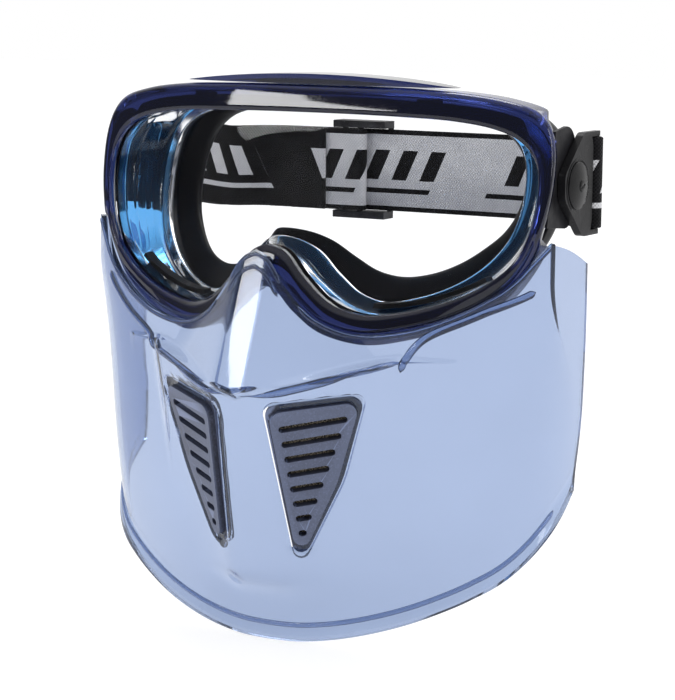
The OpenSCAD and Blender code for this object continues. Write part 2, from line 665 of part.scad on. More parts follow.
outer_frame();
lens();
lens_gasket();
inner_frame();
face_seal();
top_vent_cover();
top_vent_filter();
vent_baffles();
left_lower_vent();
right_lower_vent();
left_lug();
right_lug();
left_pivot_pin();
right_pivot_pin();
left_washer();
right_washer();
left_strap_clip();
right_strap_clip();
strap();
strap_stitching();
strap_adjuster();
strap_tail();
face_shield();
left_vent_grille();
right_vent_grille();
left_vent_filter();
right_vent_filter();
left_vent_retainer();
right_vent_retainer();
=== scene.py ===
"""Looks for the safety goggles with a clip-on face shield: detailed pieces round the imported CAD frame."""

import math

import bmesh
import bpy
import numpy as np
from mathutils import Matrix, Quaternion, Vector


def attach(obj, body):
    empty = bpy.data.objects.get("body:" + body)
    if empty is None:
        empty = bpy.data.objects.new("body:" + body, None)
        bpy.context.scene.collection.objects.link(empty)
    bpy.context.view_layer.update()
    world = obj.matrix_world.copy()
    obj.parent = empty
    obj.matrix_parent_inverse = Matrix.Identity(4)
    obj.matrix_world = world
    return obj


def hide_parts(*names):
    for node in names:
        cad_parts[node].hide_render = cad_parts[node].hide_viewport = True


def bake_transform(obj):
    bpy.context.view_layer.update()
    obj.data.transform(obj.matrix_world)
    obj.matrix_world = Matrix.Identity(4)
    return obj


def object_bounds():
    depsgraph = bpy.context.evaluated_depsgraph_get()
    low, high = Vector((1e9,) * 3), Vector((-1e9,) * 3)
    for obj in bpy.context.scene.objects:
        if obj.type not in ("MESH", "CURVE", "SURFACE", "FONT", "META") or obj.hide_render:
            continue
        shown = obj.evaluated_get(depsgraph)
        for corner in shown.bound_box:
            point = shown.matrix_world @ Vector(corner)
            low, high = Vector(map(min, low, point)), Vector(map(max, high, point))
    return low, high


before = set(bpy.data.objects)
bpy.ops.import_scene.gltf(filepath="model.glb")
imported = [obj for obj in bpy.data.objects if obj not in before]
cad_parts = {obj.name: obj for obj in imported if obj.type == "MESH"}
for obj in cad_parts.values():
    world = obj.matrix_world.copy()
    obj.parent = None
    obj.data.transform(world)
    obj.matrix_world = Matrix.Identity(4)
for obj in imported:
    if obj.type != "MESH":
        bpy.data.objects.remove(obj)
cad_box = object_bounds()
MM = 0.001

# ---------------------------------------------------------------- helper maths, in millimetres


def clamp(v, lo, hi):
    return np.minimum(np.maximum(v, lo), hi)


def mix(a, b, t):
    return a + (b - a) * t


def smooth(a, b, v):
    t = clamp((v - a) / (b - a), 0.0, 1.0)
    return t * t * (3 - 2 * t)


def soft_min(a, b, k):
    h = clamp(0.5 + 0.5 * (b - a) / k, 0, 1)
    return mix(b, a, h) - k * h * (1 - h)


def soft_pos(v, k):
    return (v + np.sqrt(v * v + k * k)) / 2


def spline(q, knots):
    """Cubic through the knots [(q, value)], with slopes from the neighbours."""
    p = np.array(knots, float)
    q = np.asarray(q, float)
    n = len(p)
    each = np.arange(n)
    rise = p[np.minimum(each + 1, n - 1)] - p[np.maximum(each - 1, 0)]
    slope = rise[:, 1] / rise[:, 0]
    i = np.clip(np.searchsorted(p[:, 0], q, side="left") - 1, 0, n - 2)
    h = p[i + 1, 0] - p[i, 0]
    t = (q - p[i, 0]) / h
    m0, m1, s = slope[i] * h, slope[i + 1] * h, t * t
    c = s * t
    return (2 * c - 3 * s + 1) * p[i, 1] + (c - 2 * s + t) * m0 + (3 * s - 2 * c) * p[i + 1, 1] + (c - s) * m1


# ------------------------------------------------- sizes in mm, repeated from the part's source

BROW_REACH, BROW_Z, FRAME_DROP, LEAN = 34.0, 36.5, 77.0, 27.0
BROW_R, CHEEK_R, NOSE_PUSH, NOSE_W = 300.0, 95.0, 9.0, 22.0
RIM_DEPTH, BAND_T, LENS_T = 10.5, 3.3, 2.0
HEAD_BROW_R, HEAD_CHEEK_R, HEAD_LEAN, HEAD_NOSE, HEAD_NOSE_W = 100.0, 57.0, 42.0, 22.0, 13
FRAME_SHARE, SEAL_GAP = 0.55, 0.063
LENS_D = BAND_T + 0.2
GASKET_D = LENS_D + LENS_T + 0.25
INNER_D = GASKET_D + 0.95
LENS_LAP, REBATE_Z, REBATE = 0.3, -6.0, 2.1
SIDE_DEPTH, SIDE_FLARE = 4.2, -0.7
SHIELD_W, SHIELD_T, SHIELD_R, SHIELD_REACH = 87.6, 2.0, 110.0, 63.2
SHIELD_BLEND = 3.0      # how softly the muzzle meets the shield's curve
TAPER, TAPER_Z, BOW, BOW_Z = 0.0006, -30, 0.00104, -52
VENT_SLOPE, LIP_FLARE = 0.62, 2.2
WALL_Y, WALL_Z = (-26.0, -3.0), (-20, -70)
Q_FRONT, Q_CORNER, Q_END = 70.0, 100.0, 114.0
NOSE_SLOPE, NOSE_TILT, NOSE_TOP, NOSE_FLAT, NOSE_BLEND = 0.75, 0.4, (-70.0, -22.0), 5.8, 2
NOSE_SIDE = 62          # the nose and muzzle end at this half width
MUZZLE_TOP, MUZZLE_TILT, RIDGE_HALF, RIDGE_BLEND = (-78.5, -60.0), 0.25, 10.0, 4
CHIN_BACK, CHIN_Z, CHEEK_BACK, CHEEK_X = 10, (-119, -136), 5, (40, 49)
CREASE_Z, CREASE_RISE, CREASE_X, CREASE_BLEND, CREASE_BAND = -57, 0.28, 46, 1.8, 2
VENT_YAW, VENT_PITCH = math.atan(VENT_SLOPE), math.radians(12)
PIVOT_Y, PIVOT_Z = -8.6, 9.7
CLIP_OUT, CAP_X = 87.2, 88.25
BAR_X, BAR_Y, BAR_R = 86.0, 7.4, 1.4
STRAP_W, STRAP_T, STRAP_BACK, STRAP_BACK_Z = 30.0, 1.2, 64.4, 5.0
SLIDER_X, SLIDER_BAR_R = -31.0, 1.1
RETURN_Y, TAIL_Y = STRAP_BACK - 6.8, STRAP_BACK - 3.2

LENS_HALF = [(0, 31.6), (18, 31.5), (36, 31.1), (52, 30.3), (65.5, 28.2), (75, 24.2), (80.6, 17),
             (81.8, 6.5), (80, -5), (75.4, -14.5), (66.8, -21.9), (56, -27.2), (44, -30.6), (32, -31.6),
             (22, -28), (13.5, -20.3), (6.5, -12.5), (0, -10.2)]
RIM_HALF = [(0, 40.4), (18, 40.4), (36, 40.2), (53, 39.4), (68.5, 37.3), (80.2, 33.2), (85.4, 24),
            (86, 8.5), (83.1, -8), (78.6, -18.6), (71.6, -27.9), (60.5, -34.6), (47, -39.2), (33, -41.4),
            (20, -38.2), (10.8, -31.4), (5, -25.8), (0, -23.8)]
SEAL_HALF = [(0, 30.5), (15, 31), (30, 30.5), (43, 29), (53, 25.5), (60, 19), (62.8, 10),
             (62.5, 1), (59.5, -7), (54, -13), (48, -17.5), (41, -20.5), (33, -21.5), (25, -19.5),
             (18, -15), (11.5, -9.5), (6, -6.5), (0, -5.5)]
BACK_HALF = [(0, 39.5), (17, 39.5), (33, 39), (47, 37.5), (59.5, 34), (69, 28), (74, 19.5), (75.6, 8),
             (74.6, -3.5), (71.5, -13), (65.5, -21.5), (57, -28.5), (46.3, -33.5), (33, -36), (21.5, -32.5),
             (12.5, -25), (6, -17.5), (0, -15)]
SHIELD_TOP = [(0, -11), (5, -13.8), (11, -22.5), (20, -32.3), (32.5, -37.2), (47, -36),
              (60, -31.6), (70, -26.1), (77, -20.5), (84, -13.5), (91, -8.8), (96, -7.6),
              (102, -9), (108, -12), (114, -16.5)]
SHIELD_BOTTOM = [(0, -142), (12, -141.6), (24, -140), (36, -137.4), (48, -133.8), (58, -129.8),
                 (68, -124.8), (76, -119.2), (83, -112.5), (90, -104.5), (97, -96), (103, -88), (108, -80.5),
                 (112, -73), (114, -66)]
LENS_MID = np.array([0.0, 14.0])
RING_STEPS = 10         # samples between two outline points


def catmull(a, b, c, d, t):
    """A smooth curve from b (t = 0) to c (t = 1), led by a and d."""
    square = (2 * a - 5 * b + 4 * c - d) * t ** 2
    cube = (3 * b - a - 3 * c + d) * t ** 3
    return 0.5 * (2 * b + (c - a) * t + square + cube)


def ring(half):
    """A closed outline from its right half."""
    r = np.array(list(half) + [(-x, z) for x, z in half[-2:0:-1]], float)
    t = (np.arange(RING_STEPS) / RING_STEPS)[:, None]
    n = len(r)
    return np.concatenate([catmull(r[i - 1], r[i], r[(i + 1) % n], r[(i + 2) % n], t) for i in range(n)])


def inset(p, d):
    """The outline moved towards its inside."""
    t = np.roll(p, -1, 0) - np.roll(p, 1, 0)
    return p + d * np.stack([t[:, 1], -t[:, 0]], 1) / np.linalg.norm(t, axis=1)[:, None]


LENS_RING, RIM_RING, SEAL_RING, BACK_RING = (ring(h) for h in (LENS_HALF, RIM_HALF, SEAL_HALF, BACK_HALF))


def front_y(x, z):
    """The front surface of the frame."""
    t = clamp((BROW_Z - z) / FRAME_DROP, -0.1, 1.1)
    return (-BROW_REACH - LEAN * t + x * x / (2 * mix(BROW_R, CHEEK_R, clamp(t, 0, 1)))
            - NOSE_PUSH * np.exp(-(x / NOSE_W) ** 2) * smooth(0.15, 0.6, t))


def head_y(x, z):
    """The face that the seal rests on."""
    t = clamp((BROW_Z - z) / FRAME_DROP, -0.1, 1.1)
    return (-HEAD_LEAN * t + x * x / (2 * mix(HEAD_BROW_R, HEAD_CHEEK_R, clamp(t, 0, 1)))
            - HEAD_NOSE * np.exp(-(x / HEAD_NOSE_W) ** 2) * smooth(0.2, 0.5, t))


def seat(p):
    """How far the lens seat reaches across the rim; less at the sides, to leave room for the lugs."""
    return mix(0.5, 0.14, smooth(74, 81, np.abs(p[:, 0])))[:, None]


def deep(p, d):
    """Points a fixed depth behind the front surface."""
    return np.stack([p[:, 0], front_y(p[:, 0], p[:, 1]) + d, p[:, 1]], 1)


def share(p, g):
    """Points at a share of the way from the inner frame's front to the face."""
    x, z = p[:, 0], p[:, 1]
    return np.stack([x, mix(front_y(x, z) + INNER_D, head_y(x, z), g), z], 1)


# ---------------------------------------------------------------- mesh helpers


def new_mesh(name, verts, faces, smooth_shade=True):
    me = bpy.data.meshes.new(name)
    me.from_pydata((np.asarray(verts, float) * MM).tolist(), [], faces)
    me.update()
    bm = bmesh.new()
    bm.from_mesh(me)
    bmesh.ops.recalc_face_normals(bm, faces=bm.faces)
    bm.to_mesh(me)
    bm.free()
    for p in me.polygons:
        p.use_smooth = smooth_shade
    ob = bpy.data.objects.new(name, me)
    bpy.context.scene.collection.objects.link(ob)
    return ob


def fillet(rows, radii, n=4):
    """Rounds each corner of a swept section: rows[step, corner, xyz]."""
    m = rows.shape[1]
    before, after = np.roll(rows, 1, 1) - rows, np.roll(rows, -1, 1) - rows
    la, lb = np.linalg.norm(before, axis=2) + 1e-9, np.linalg.norm(after, axis=2) + 1e-9
    out = []
    for j in range(m):
        a = rows[:, j] + before[:, j] * np.minimum(radii[j] / la[:, j], 0.48)[:, None]
        b = rows[:, j] + after[:, j] * np.minimum(radii[j] / lb[:, j], 0.48)[:, None]
        for t in np.linspace(0, 1, n):
            out.append((1 - t) ** 2 * a + 2 * t * (1 - t) * rows[:, j] + t * t * b)
    return np.stack(out, 1)


def closed_sweep(name, rows):
    """A ring of sections, rows[step, corner, xyz], whose last joins its first."""
    n, m = rows.shape[:2]
    faces = [(i * m + j, i * m + (j + 1) % m, ((i + 1) % n) * m + (j + 1) % m, ((i + 1) % n) * m + j)
             for i in range(n) for j in range(m)]
    return new_mesh(name, rows.reshape(-1, 3), faces)


def open_sweep(name, rows):
    """A run of sections with a flat cap at each end."""
    n, m = rows.shape[:2]
    faces = [(i * m + j, i * m + (j + 1) % m, (i + 1) * m + (j + 1) % m, (i + 1) * m + j)
             for i in range(n - 1) for j in range(m)]
    faces += [tuple(range(m - 1, -1, -1)), tuple((n - 1) * m + j for j in range(m))]
    return new_mesh(name, rows.reshape(-1, 3), faces)


def resample(points, step):
    """Evenly spaced points along a route, and their distances from its start."""
    p = np.array(points, float)
    seg = np.linalg.norm(np.diff(p, axis=0), axis=1)
    s = np.concatenate([[0], np.cumsum(seg)])
    k = max(int(s[-1] / step), 2)
    t = np.linspace(0, s[-1], k + 1)
    return np.stack([np.interp(t, s, p[:, i]) for i in range(p.shape[1])], 1), t


def apply_modifiers(ob):
    """Leaves the piece with the mesh its modifiers make."""
    deps = bpy.context.evaluated_depsgraph_get()
    deps.update()
    me = bpy.data.meshes.new_from_object(ob.evaluated_get(deps), preserve_all_data_layers=True,
                                         depsgraph=deps)
    old = ob.data
    ob.modifiers.clear()
    ob.data = me
    me.name = ob.name
    bpy.data.meshes.remove(old)
    return ob


def modifier(ob, kind, **values):
    m = ob.modifiers.new(kind.lower(), kind)
    for k, v in values.items():
        setattr(m, k, v)
    return m


def even_normals(ob):
    modifier(ob, "WEIGHTED_NORMAL", keep_sharp=True, weight=60)


SAME_POINT = 2e-6                   # metres
FLAT_ANGLE = math.radians(1.0)      # faces nearer than this in slope are one face
SHARP_ANGLE = math.radians(35)      # edges sharper than this are rounded


def softened(node, name, width):
    """A copy of a CAD node's shape with its edges rounded, which stands for it."""
    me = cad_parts[node].data.copy()
    me.name = name
    ob = bpy.data.objects.new(name, me)
    bpy.context.scene.collection.objects.link(ob)
    me.materials.clear()
    bm = bmesh.new()
    bm.from_mesh(me)
    bmesh.ops.remove_doubles(bm, verts=bm.verts, dist=SAME_POINT)
    bmesh.ops.dissolve_limit(bm, angle_limit=FLAT_ANGLE, verts=bm.verts, edges=bm.edges)
    bmesh.ops.recalc_face_normals(bm, faces=bm.faces)
    bm.to_mesh(me)
    bm.free()
    for p in me.polygons:
        p.use_smooth = True
    modifier(ob, "BEVEL", width=width * MM, segments=2, limit_method="ANGLE", angle_limit=SHARP_ANGLE,
             use_clamp_overlap=True, harden_normals=False)
    apply_modifiers(ob)
    ob.data.shade_smooth()
    even_normals(ob)
    apply_modifiers(ob)
    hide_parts(node)
    return ob


def dress(ob, material, body=None):
    """Gives a piece its material, and its body unless it blends between two."""
    ob.data.materials.clear()
    ob.data.materials.append(material)
    if body:
        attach(ob, body)
    return ob


# ---------------------------------------------------------------- materials


class Nodes:
    """A small helper for building a node material."""

    def __init__(self, name):
        self.mat = bpy.data.materials.new(name)
        self.mat.use_nodes = True
        self.tree = self.mat.node_tree
        self.shader = next(n for n in self.tree.nodes if n.type == "BSDF_PRINCIPLED")
        self.coord = self.add("ShaderNodeTexCoord")

    def add(self, kind, **values):
        n = self.tree.nodes.new(kind)
        for k, v in values.items():
            if hasattr(n, k):
                setattr(n, k, v)
            else:
                n.inputs[k].default_value = v
        return n

    def link(self, a, b):
        self.tree.links.new(a, b)

    def set(self, **values):
        for k, v in values.items():
            self.shader.inputs[k.replace("_", " ")].default_value = v

    def noise(self, scale, detail=3.0, rough=0.5, stretch=None):
        n = self.add("ShaderNodeTexNoise")
        n.inputs["Scale"].default_value = scale
        n.inputs["Detail"].default_value = detail
        n.inputs["Roughness"].default_value = rough
        source = self.coord.outputs["Object"]
        if stretch:
            m = self.add("ShaderNodeMapping")
            m.inputs["Scale"].default_value = stretch
            self.link(source, m.inputs["Vector"])
            source = m.outputs["Vector"]
        self.link(source, n.inputs["Vector"])
        return n.outputs["Fac"]

    def ramp(self, value, stops):
        n = self.add("ShaderNodeValToRGB")
        e = n.color_ramp.elements
        while len(e) < len(stops):
            e.new(0.5)
        for el, (pos, col) in zip(e, stops):
            el.position = pos
            el.color = (*col, 1)
        self.link(value, n.inputs["Fac"])
        return n.outputs["Color"]

    def span(self, value, lo, hi, a=0.0, b=1.0):
        """The value mapped from a..b to lo..hi, and held there outside."""
        n = self.add("ShaderNodeMapRange")
        for k, v in (("From Min", a), ("From Max", b), ("To Min", lo), ("To Max", hi)):
            n.inputs[k].default_value = v
        self.link(value, n.inputs["Value"])
        return n.outputs["Result"]

    def math(self, op, a, b=None):
        n = self.add("ShaderNodeMath", operation=op)
        for i, v in enumerate((a, b)):
            if v is None:
                continue
            if isinstance(v, (int, float)):
                n.inputs[i].default_value = v
            else:
                self.link(v, n.inputs[i])
        return n.outputs["Value"]

    def blend(self, fac, a, b):
        n = self.add("ShaderNodeMix", data_type="RGBA")
        for k, v in ((0, fac), (6, a), (7, b)):
            if isinstance(v, (int, float)):
                n.inputs[k].default_value = v
            elif isinstance(v, (tuple, list)):
                n.inputs[k].default_value = (*v, 1)
            else:
                self.link(v, n.inputs[k])
        return n.outputs[2]

    def bump(self, height, distance, strength):
        n = self.add("ShaderNodeBump")
        n.inputs["Strength"].default_value = strength
        n.inputs["Distance"].default_value = distance
        self.link(height, n.inputs["Height"])
        return n.outputs["Normal"]

    def to(self, output, socket):
        self.link(output, self.shader.inputs[socket])


def shades(color, factor, most=1.0):
    """A colour made lighter or darker, with each channel kept under a limit."""
    return tuple(min(c * factor, most) for c in color)


def clear_plastic(name, color, rough, transmission, ior, variation, ripple=0.00002, gloss=0.5):
    """Tinted see-through plastic: a slightly uneven tint, faint flow ripple and fine handling marks."""
    n = Nodes(name)
    n.set(Transmission_Weight=transmission, IOR=ior, Specular_IOR_Level=gloss)
    tone = n.noise(22, 2, 0.5)
    low, high = shades(color, 1 - variation), shades(color, 1 + variation)
    n.to(n.ramp(tone, [(0.3, low), (0.7, high)]), "Base Color")
    marks = n.noise(420, 4, 0.6, stretch=(1, 1, 0.25))
    n.to(n.span(marks, rough * 0.6, rough * 1.6, 0.3, 0.75), "Roughness")
    flow = n.noise(45, 1.5, 0.4, stretch=(1, 1, 0.5))
    n.to(n.bump(flow, ripple, 0.5), "Normal")
    return n.mat


WORN = (0.13, 0.13, 0.14)


def moulded(name, color, rough=0.42, grain=900, depth=0.00006, amount=0.35, coat=0.0):
    """Fine-textured moulded plastic or rubber with paler worn edges."""
    n = Nodes(name)
    n.set(Specular_IOR_Level=0.5, IOR=1.17, Coat_Weight=coat, Coat_Roughness=0.2)
    tone = n.noise(60, 3, 0.55)
    base = n.ramp(tone, [(0.3, shades(color, 0.8)), (0.75, shades(color, 1.25))])
    geo = n.add("ShaderNodeNewGeometry")
    edge = n.span(geo.outputs["Pointiness"], 0.0, amount, 0.52, 0.6)
    rub = n.math("MULTIPLY", edge, n.span(n.noise(160, 3), 0.2, 1.0, 0.35, 0.65))
    n.to(n.blend(rub, base, WORN), "Base Color")
    n.to(n.span(n.noise(240, 4, 0.6), rough * 0.85, rough * 1.2, 0.3, 0.7), "Roughness")
    n.to(n.bump(n.noise(grain, 2.5, 0.6), depth, 0.6), "Normal")
    return n.mat


def webbing_material(name):
    """Woven elastic: a black face with a pale woven motif, and a pale reverse with black edges."""
    n = Nodes(name)
    n.set(Specular_IOR_Level=0.3, IOR=1.25, Sheen_Weight=0.06, Sheen_Roughness=0.5)
    uv = n.add("ShaderNodeUVMap", uv_map="cloth")
    sep = n.add("ShaderNodeSeparateXYZ")
    n.link(uv.outputs["UV"], sep.inputs["Vector"])
    along, across = sep.outputs["X"], sep.outputs["Y"]
    side = n.add("ShaderNodeAttribute", attribute_name="reverse").outputs["Fac"]
    # lengths in units of 10 mm, as the cloth coordinates are
    rib_pitch, pick_pitch = 0.13, 0.11
    slant_run, bar_pitch, bar_share, group_pitch, group_share = 0.45, 1.15, 0.52, 6.9, 0.667
    bars_low, bars_high, line_drop, line_half, edge_at = -0.35, 0.75, 0.75, 0.09, 1.32
    # weave: ribs along the strap, picks across it
    warp = n.math("SINE", n.math("MULTIPLY", across, 2 * math.pi / rib_pitch))
    row = n.math("SINE", n.math("MULTIPLY", along, 2 * math.pi / pick_pitch))
    stagger = n.math("MULTIPLY", warp, row)
    weave = n.span(stagger, 0.0, 1.0, -1.0, 1.0)
    # motif: slanted bars in groups, with a thin line under them
    slant = n.math("ADD", along, n.math("MULTIPLY", across, slant_run))
    cell = n.math("FRACT", n.math("MULTIPLY", slant, 1 / bar_pitch))
    group = n.math("FRACT", n.math("MULTIPLY", slant, 1 / group_pitch))
    in_group = n.math("LESS_THAN", group, group_share)
    bar = n.math("MULTIPLY", n.math("LESS_THAN", cell, bar_share), in_group)
    band = n.math("MULTIPLY", n.math("GREATER_THAN", across, bars_low),
                  n.math("LESS_THAN", across, bars_high))
    off_line = n.math("ABSOLUTE", n.math("ADD", across, line_drop))
    line = n.math("MULTIPLY", n.math("LESS_THAN", off_line, line_half), in_group)
    motif = n.math("MAXIMUM", n.math("MULTIPLY", bar, band), line)
    edge = n.math("GREATER_THAN", n.math("ABSOLUTE", across), edge_at)
    # front: black ground and white motif; reverse: white ground, black motif and edges
    mix_side = n.math("ABSOLUTE", n.math("SUBTRACT", motif, side))
    pale = n.math("MULTIPLY", mix_side, n.math("SUBTRACT", 1.0, edge))
    tone = n.noise(150, 3, 0.6)
    dark_col = n.ramp(tone, [(0.3, (0.008, 0.008, 0.009)), (0.7, (0.02, 0.02, 0.023))])
    pale_col = n.ramp(tone, [(0.3, (0.78, 0.78, 0.82)), (0.7, (0.92, 0.92, 0.95))])
    # painted shade: the colour is multiplied darker in the weave's hollows between the threads
    thread = n.span(weave, 0.64, 1.0)
    base = n.blend(pale, dark_col, pale_col)
    shade = n.add("ShaderNodeMix", data_type="RGBA", blend_type="MULTIPLY")
    shade.inputs[0].default_value = 1.0
    n.link(base, shade.inputs[6])
    n.link(thread, shade.inputs[7])
    n.to(shade.outputs[2], "Base Color")
    n.to(n.span(weave, 0.75, 0.92), "Roughness")
    n.to(n.bump(weave, 0.0003, 0.9), "Normal")
    return n.mat


def foam_material(name, color, cell, depth=0.0004):
    """Open-cell filter: pits and pale specks."""
    n = Nodes(name)
    n.set(Specular_IOR_Level=0.2)
    v = n.add("ShaderNodeTexVoronoi")
    v.inputs["Scale"].default_value = cell
    n.link(n.coord.outputs["Object"], v.inputs["Vector"])
    speck = n.noise(cell * 0.8, 3, 0.7)
    stops = [(0.4, shades(color, 0.2)), (0.5, color), (0.6, shades(color, 3.2, 0.8))]
    n.to(n.ramp(speck, stops), "Base Color")
    n.set(Roughness=0.95)
    n.to(n.bump(v.outputs["Distance"], depth, 0.9), "Normal")
    return n.mat


def grille_material(name, color):
    """Dark moulded plate with a coarse spark-eroded sparkle, and a painted highlight: pale blue on its convex
    edges.
    """
    n = Nodes(name)
    n.set(Specular_IOR_Level=0.55)
    speck = n.noise(1500, 2, 0.7)
    broad = n.noise(70, 2, 0.5)
    base = n.ramp(speck, [(0.3, shades(color, 0.5)), (0.55, color), (0.7, shades(color, 2.4, 0.6))])
    base = n.blend(n.span(broad, 0.0, 0.35), base, shades(color, 0.6))
    geo = n.add("ShaderNodeNewGeometry")
    # painted highlight: convex edges are blended towards pale blue, standing for light caught on the slot
    # edges
    edge = n.span(geo.outputs["Pointiness"], 0.0, 0.7, 0.52, 0.58)
    n.to(n.blend(edge, base, (0.24, 0.3, 0.5)), "Base Color")
    n.to(n.span(speck, 0.34, 0.6), "Roughness")
    n.to(n.bump(speck, 0.00025, 0.7), "Normal")
    return n.mat


def steel_material(name):
    """Turned steel with fine rings."""
    n = Nodes(name)
    n.set(Metallic=1.0)
    turn = n.noise(300, 3, 0.5, stretch=(8, 1, 1))
    n.to(n.ramp(turn, [(0.3, (0.42, 0.42, 0.44)), (0.7, (0.6, 0.6, 0.62))]), "Base Color")
    n.to(n.span(turn, 0.25, 0.4), "Roughness")
    return n.mat


def thread_material(name, color):
    """Twisted sewing thread."""
    n = Nodes(name)
    n.set(Specular_IOR_Level=0.3)
    twist = n.noise(900, 2, 0.5, stretch=(1, 4, 1))
    n.to(n.ramp(twist, [(0.3, shades(color, 0.7)), (0.7, color)]), "Base Color")
    n.set(Roughness=0.7)
    n.to(n.bump(twist, 0.0001, 0.8), "Normal")
    return n.mat


MATERIALS = {
    "navy": clear_plastic("frame_navy", (0.017, 0.026, 0.115), rough=0.045, transmission=0.9, ior=1.5,
                          variation=0.15),
    # the lens has a low IOR and little gloss, so that it shows hardly any reflection
    "lens": clear_plastic("lens_clear", (0.965, 0.972, 0.98), rough=0.015, transmission=1.0, ior=1.15,
                          variation=0.005, ripple=0.000004, gloss=0.1),
    "sky": clear_plastic("inner_sky", (0.13, 0.45, 0.9), rough=0.08, transmission=0.97, ior=1.42,
                         variation=0.1),
    "ice": clear_plastic("shield_ice", (0.355, 0.44, 0.635), rough=0.04, transmission=0.96, ior=1.45,
                         variation=0.02),
    "gasket": moulded("gasket_black", (0.01, 0.01, 0.012), rough=0.7, grain=1500),
    "seal": moulded("seal_black", (0.008, 0.008, 0.01), rough=0.36, grain=1100, depth=0.00004, amount=0.12),
    "trim": moulded("trim_black", (0.016, 0.016, 0.018), rough=0.4),
    "lug": moulded("lug_black", (0.01, 0.01, 0.012), rough=0.38),
    "pin": moulded("pin_black", (0.009, 0.009, 0.01), rough=0.24, coat=0.1),
    "clip": moulded("clip_black", (0.009, 0.009, 0.01), rough=0.3),
    "slider": moulded("slider_black", (0.02, 0.02, 0.022), rough=0.4),
    "steel": steel_material("washer_steel"),
    "webbing": webbing_material("webbing"),
    "thread": thread_material("thread", (0.82, 0.82, 0.85)),
    "filter": foam_material("vent_filter", (0.13, 0.115, 0.09), cell=2600, depth=0.0002),
    "mesh": foam_material("hood_mesh", (0.13, 0.14, 0.16), cell=1100),
    "grille": grille_material("grille_slate", (0.04, 0.047, 0.082)),
    "retainer": moulded("retainer_slate", (0.06, 0.068, 0.1), rough=0.45),
}

# ---------------------------------------------------------------- goggles: rim, lens, inner frame and seal


def make_rim():
    a, b = LENS_RING, RIM_RING
    c = inset(b, 2.0)
    side = smooth(78, 83, np.abs(b[:, 0]))
    low = smooth(REBATE_Z, REBATE_Z - 4, b[:, 1])
    out = np.stack([np.sign(b[:, 0]) * SIDE_FLARE * side * (1 - low), 0 * side], 1)
    depth = mix(RIM_DEPTH, SIDE_DEPTH, side * (1 - low))
    rows = np.stack([
        deep(a, 1.0), deep(mix(a, b, 0.14), 0.0), deep(mix(a, b, 0.5), 0.0),
        deep(mix(a, b, 0.58), REBATE * low), deep(mix(a, b, 0.88), REBATE * low),
        deep(b, 1.1 + REBATE * low), deep(b + out, depth), deep(c + out, depth),
        deep(mix(a, b, 0.66), BAND_T + 0.1), deep(a, BAND_T)], 1)
    ob = closed_sweep("frame_rim", fillet(rows, [0.5, 0.6, 0.5, 0.5, 0.9, 0.9, 0.4, 0.4, 0.8, 0.3]))
    even_normals(ob)
    apply_modifiers(ob)
    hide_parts("outer_frame")
    return dress(ob, MATERIALS["navy"], "goggles")


def make_lens():
    """Front and back fans of rings round the middle, joined at the edge."""
    edge = mix(LENS_RING, RIM_RING, np.minimum(LENS_LAP, seat(RIM_RING)))
    n = len(edge)
    shrink = [1.0, 0.985, 0.95, 0.9, 0.83, 0.75, 0.66, 0.57, 0.48, 0.39, 0.3, 0.22, 0.14, 0.07]
    verts, faces = [], []
    for d in (LENS_D, LENS_D + LENS_T):
        for s in shrink:
            verts.append(deep(mix(LENS_MID, edge, s), d))
    m = len(shrink)
    verts = np.concatenate(verts + [deep(LENS_MID[None], LENS_D), deep(LENS_MID[None], LENS_D + LENS_T)])
    hub = 2 * m * n
    for side in (0, 1):
        o = side * m * n
        for k in range(m - 1):
            for i in range(n):
                j = (i + 1) % n
                faces.append((o + k * n + i, o + k * n + j, o + (k + 1) * n + j, o + (k + 1) * n + i))
        for i in range(n):
            faces.append((o + (m - 1) * n + i, o + (m - 1) * n + (i + 1) % n, hub + side))
    for i in range(n):
        j = (i + 1) % n
        faces.append((i, j, m * n + j, m * n + i))
    ob = new_mesh("lens_pane", verts, faces)
    modifier(ob, "BEVEL", width=0.25 * MM, segments=2, limit_method="ANGLE", angle_limit=math.radians(50))
    even_normals(ob)
    apply_modifiers(ob)
    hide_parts("lens")
    return dress(ob, MATERIALS["lens"], "goggles")


def make_gasket():
    a, b = LENS_RING, RIM_RING
    rows = np.stack([deep(mix(a, b, 0.02), GASKET_D), deep(mix(a, b, seat(b)), GASKET_D),
                     deep(mix(a, b, seat(b)), GASKET_D + 0.8), deep(mix(a, b, 0.02), GASKET_D + 0.8)], 1)
    ob = closed_sweep("lens_gasket_ring", fillet(rows, [0.25] * 4, 3))
    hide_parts("lens_gasket")
    return dress(ob, MATERIALS["gasket"], "goggles")


def make_inner():
    a, b, c = LENS_RING, RIM_RING, BACK_RING
    e, d = inset(BACK_RING, 2.6), inset(BACK_RING, 7)
    lip = mix(a, b, seat(b))
    wall = [share(lip, 0)]
    radii = [0.4, 0.6]
    # raised ribs run round the outer wall
    for g in (0.1, 0.2, 0.3, 0.4):
        at = mix(lip, c, g / FRAME_SHARE)
        low = inset(at, 0.7)
        wall += [share(at, g - 0.022), share(low, g - 0.012), share(low, g + 0.012), share(at, g + 0.022)]
        radii += [0.35] * 4
    back = [share(c, FRAME_SHARE), share(d, FRAME_SHARE), share(d, FRAME_SHARE - 0.1),
            share(e, FRAME_SHARE - 0.12), share(mix(a, b, 0.12), 0.12)]
    rows = np.stack([share(mix(a, b, 0.15), 0)] + wall + back, 1)
    ob = closed_sweep("inner_body", fillet(rows, radii + [0.8, 0.5, 0.5, 1.6, 1.0], 3))
    even_normals(ob)
    apply_modifiers(ob)
    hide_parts("inner_frame")
    return dress(ob, MATERIALS["sky"], "goggles")


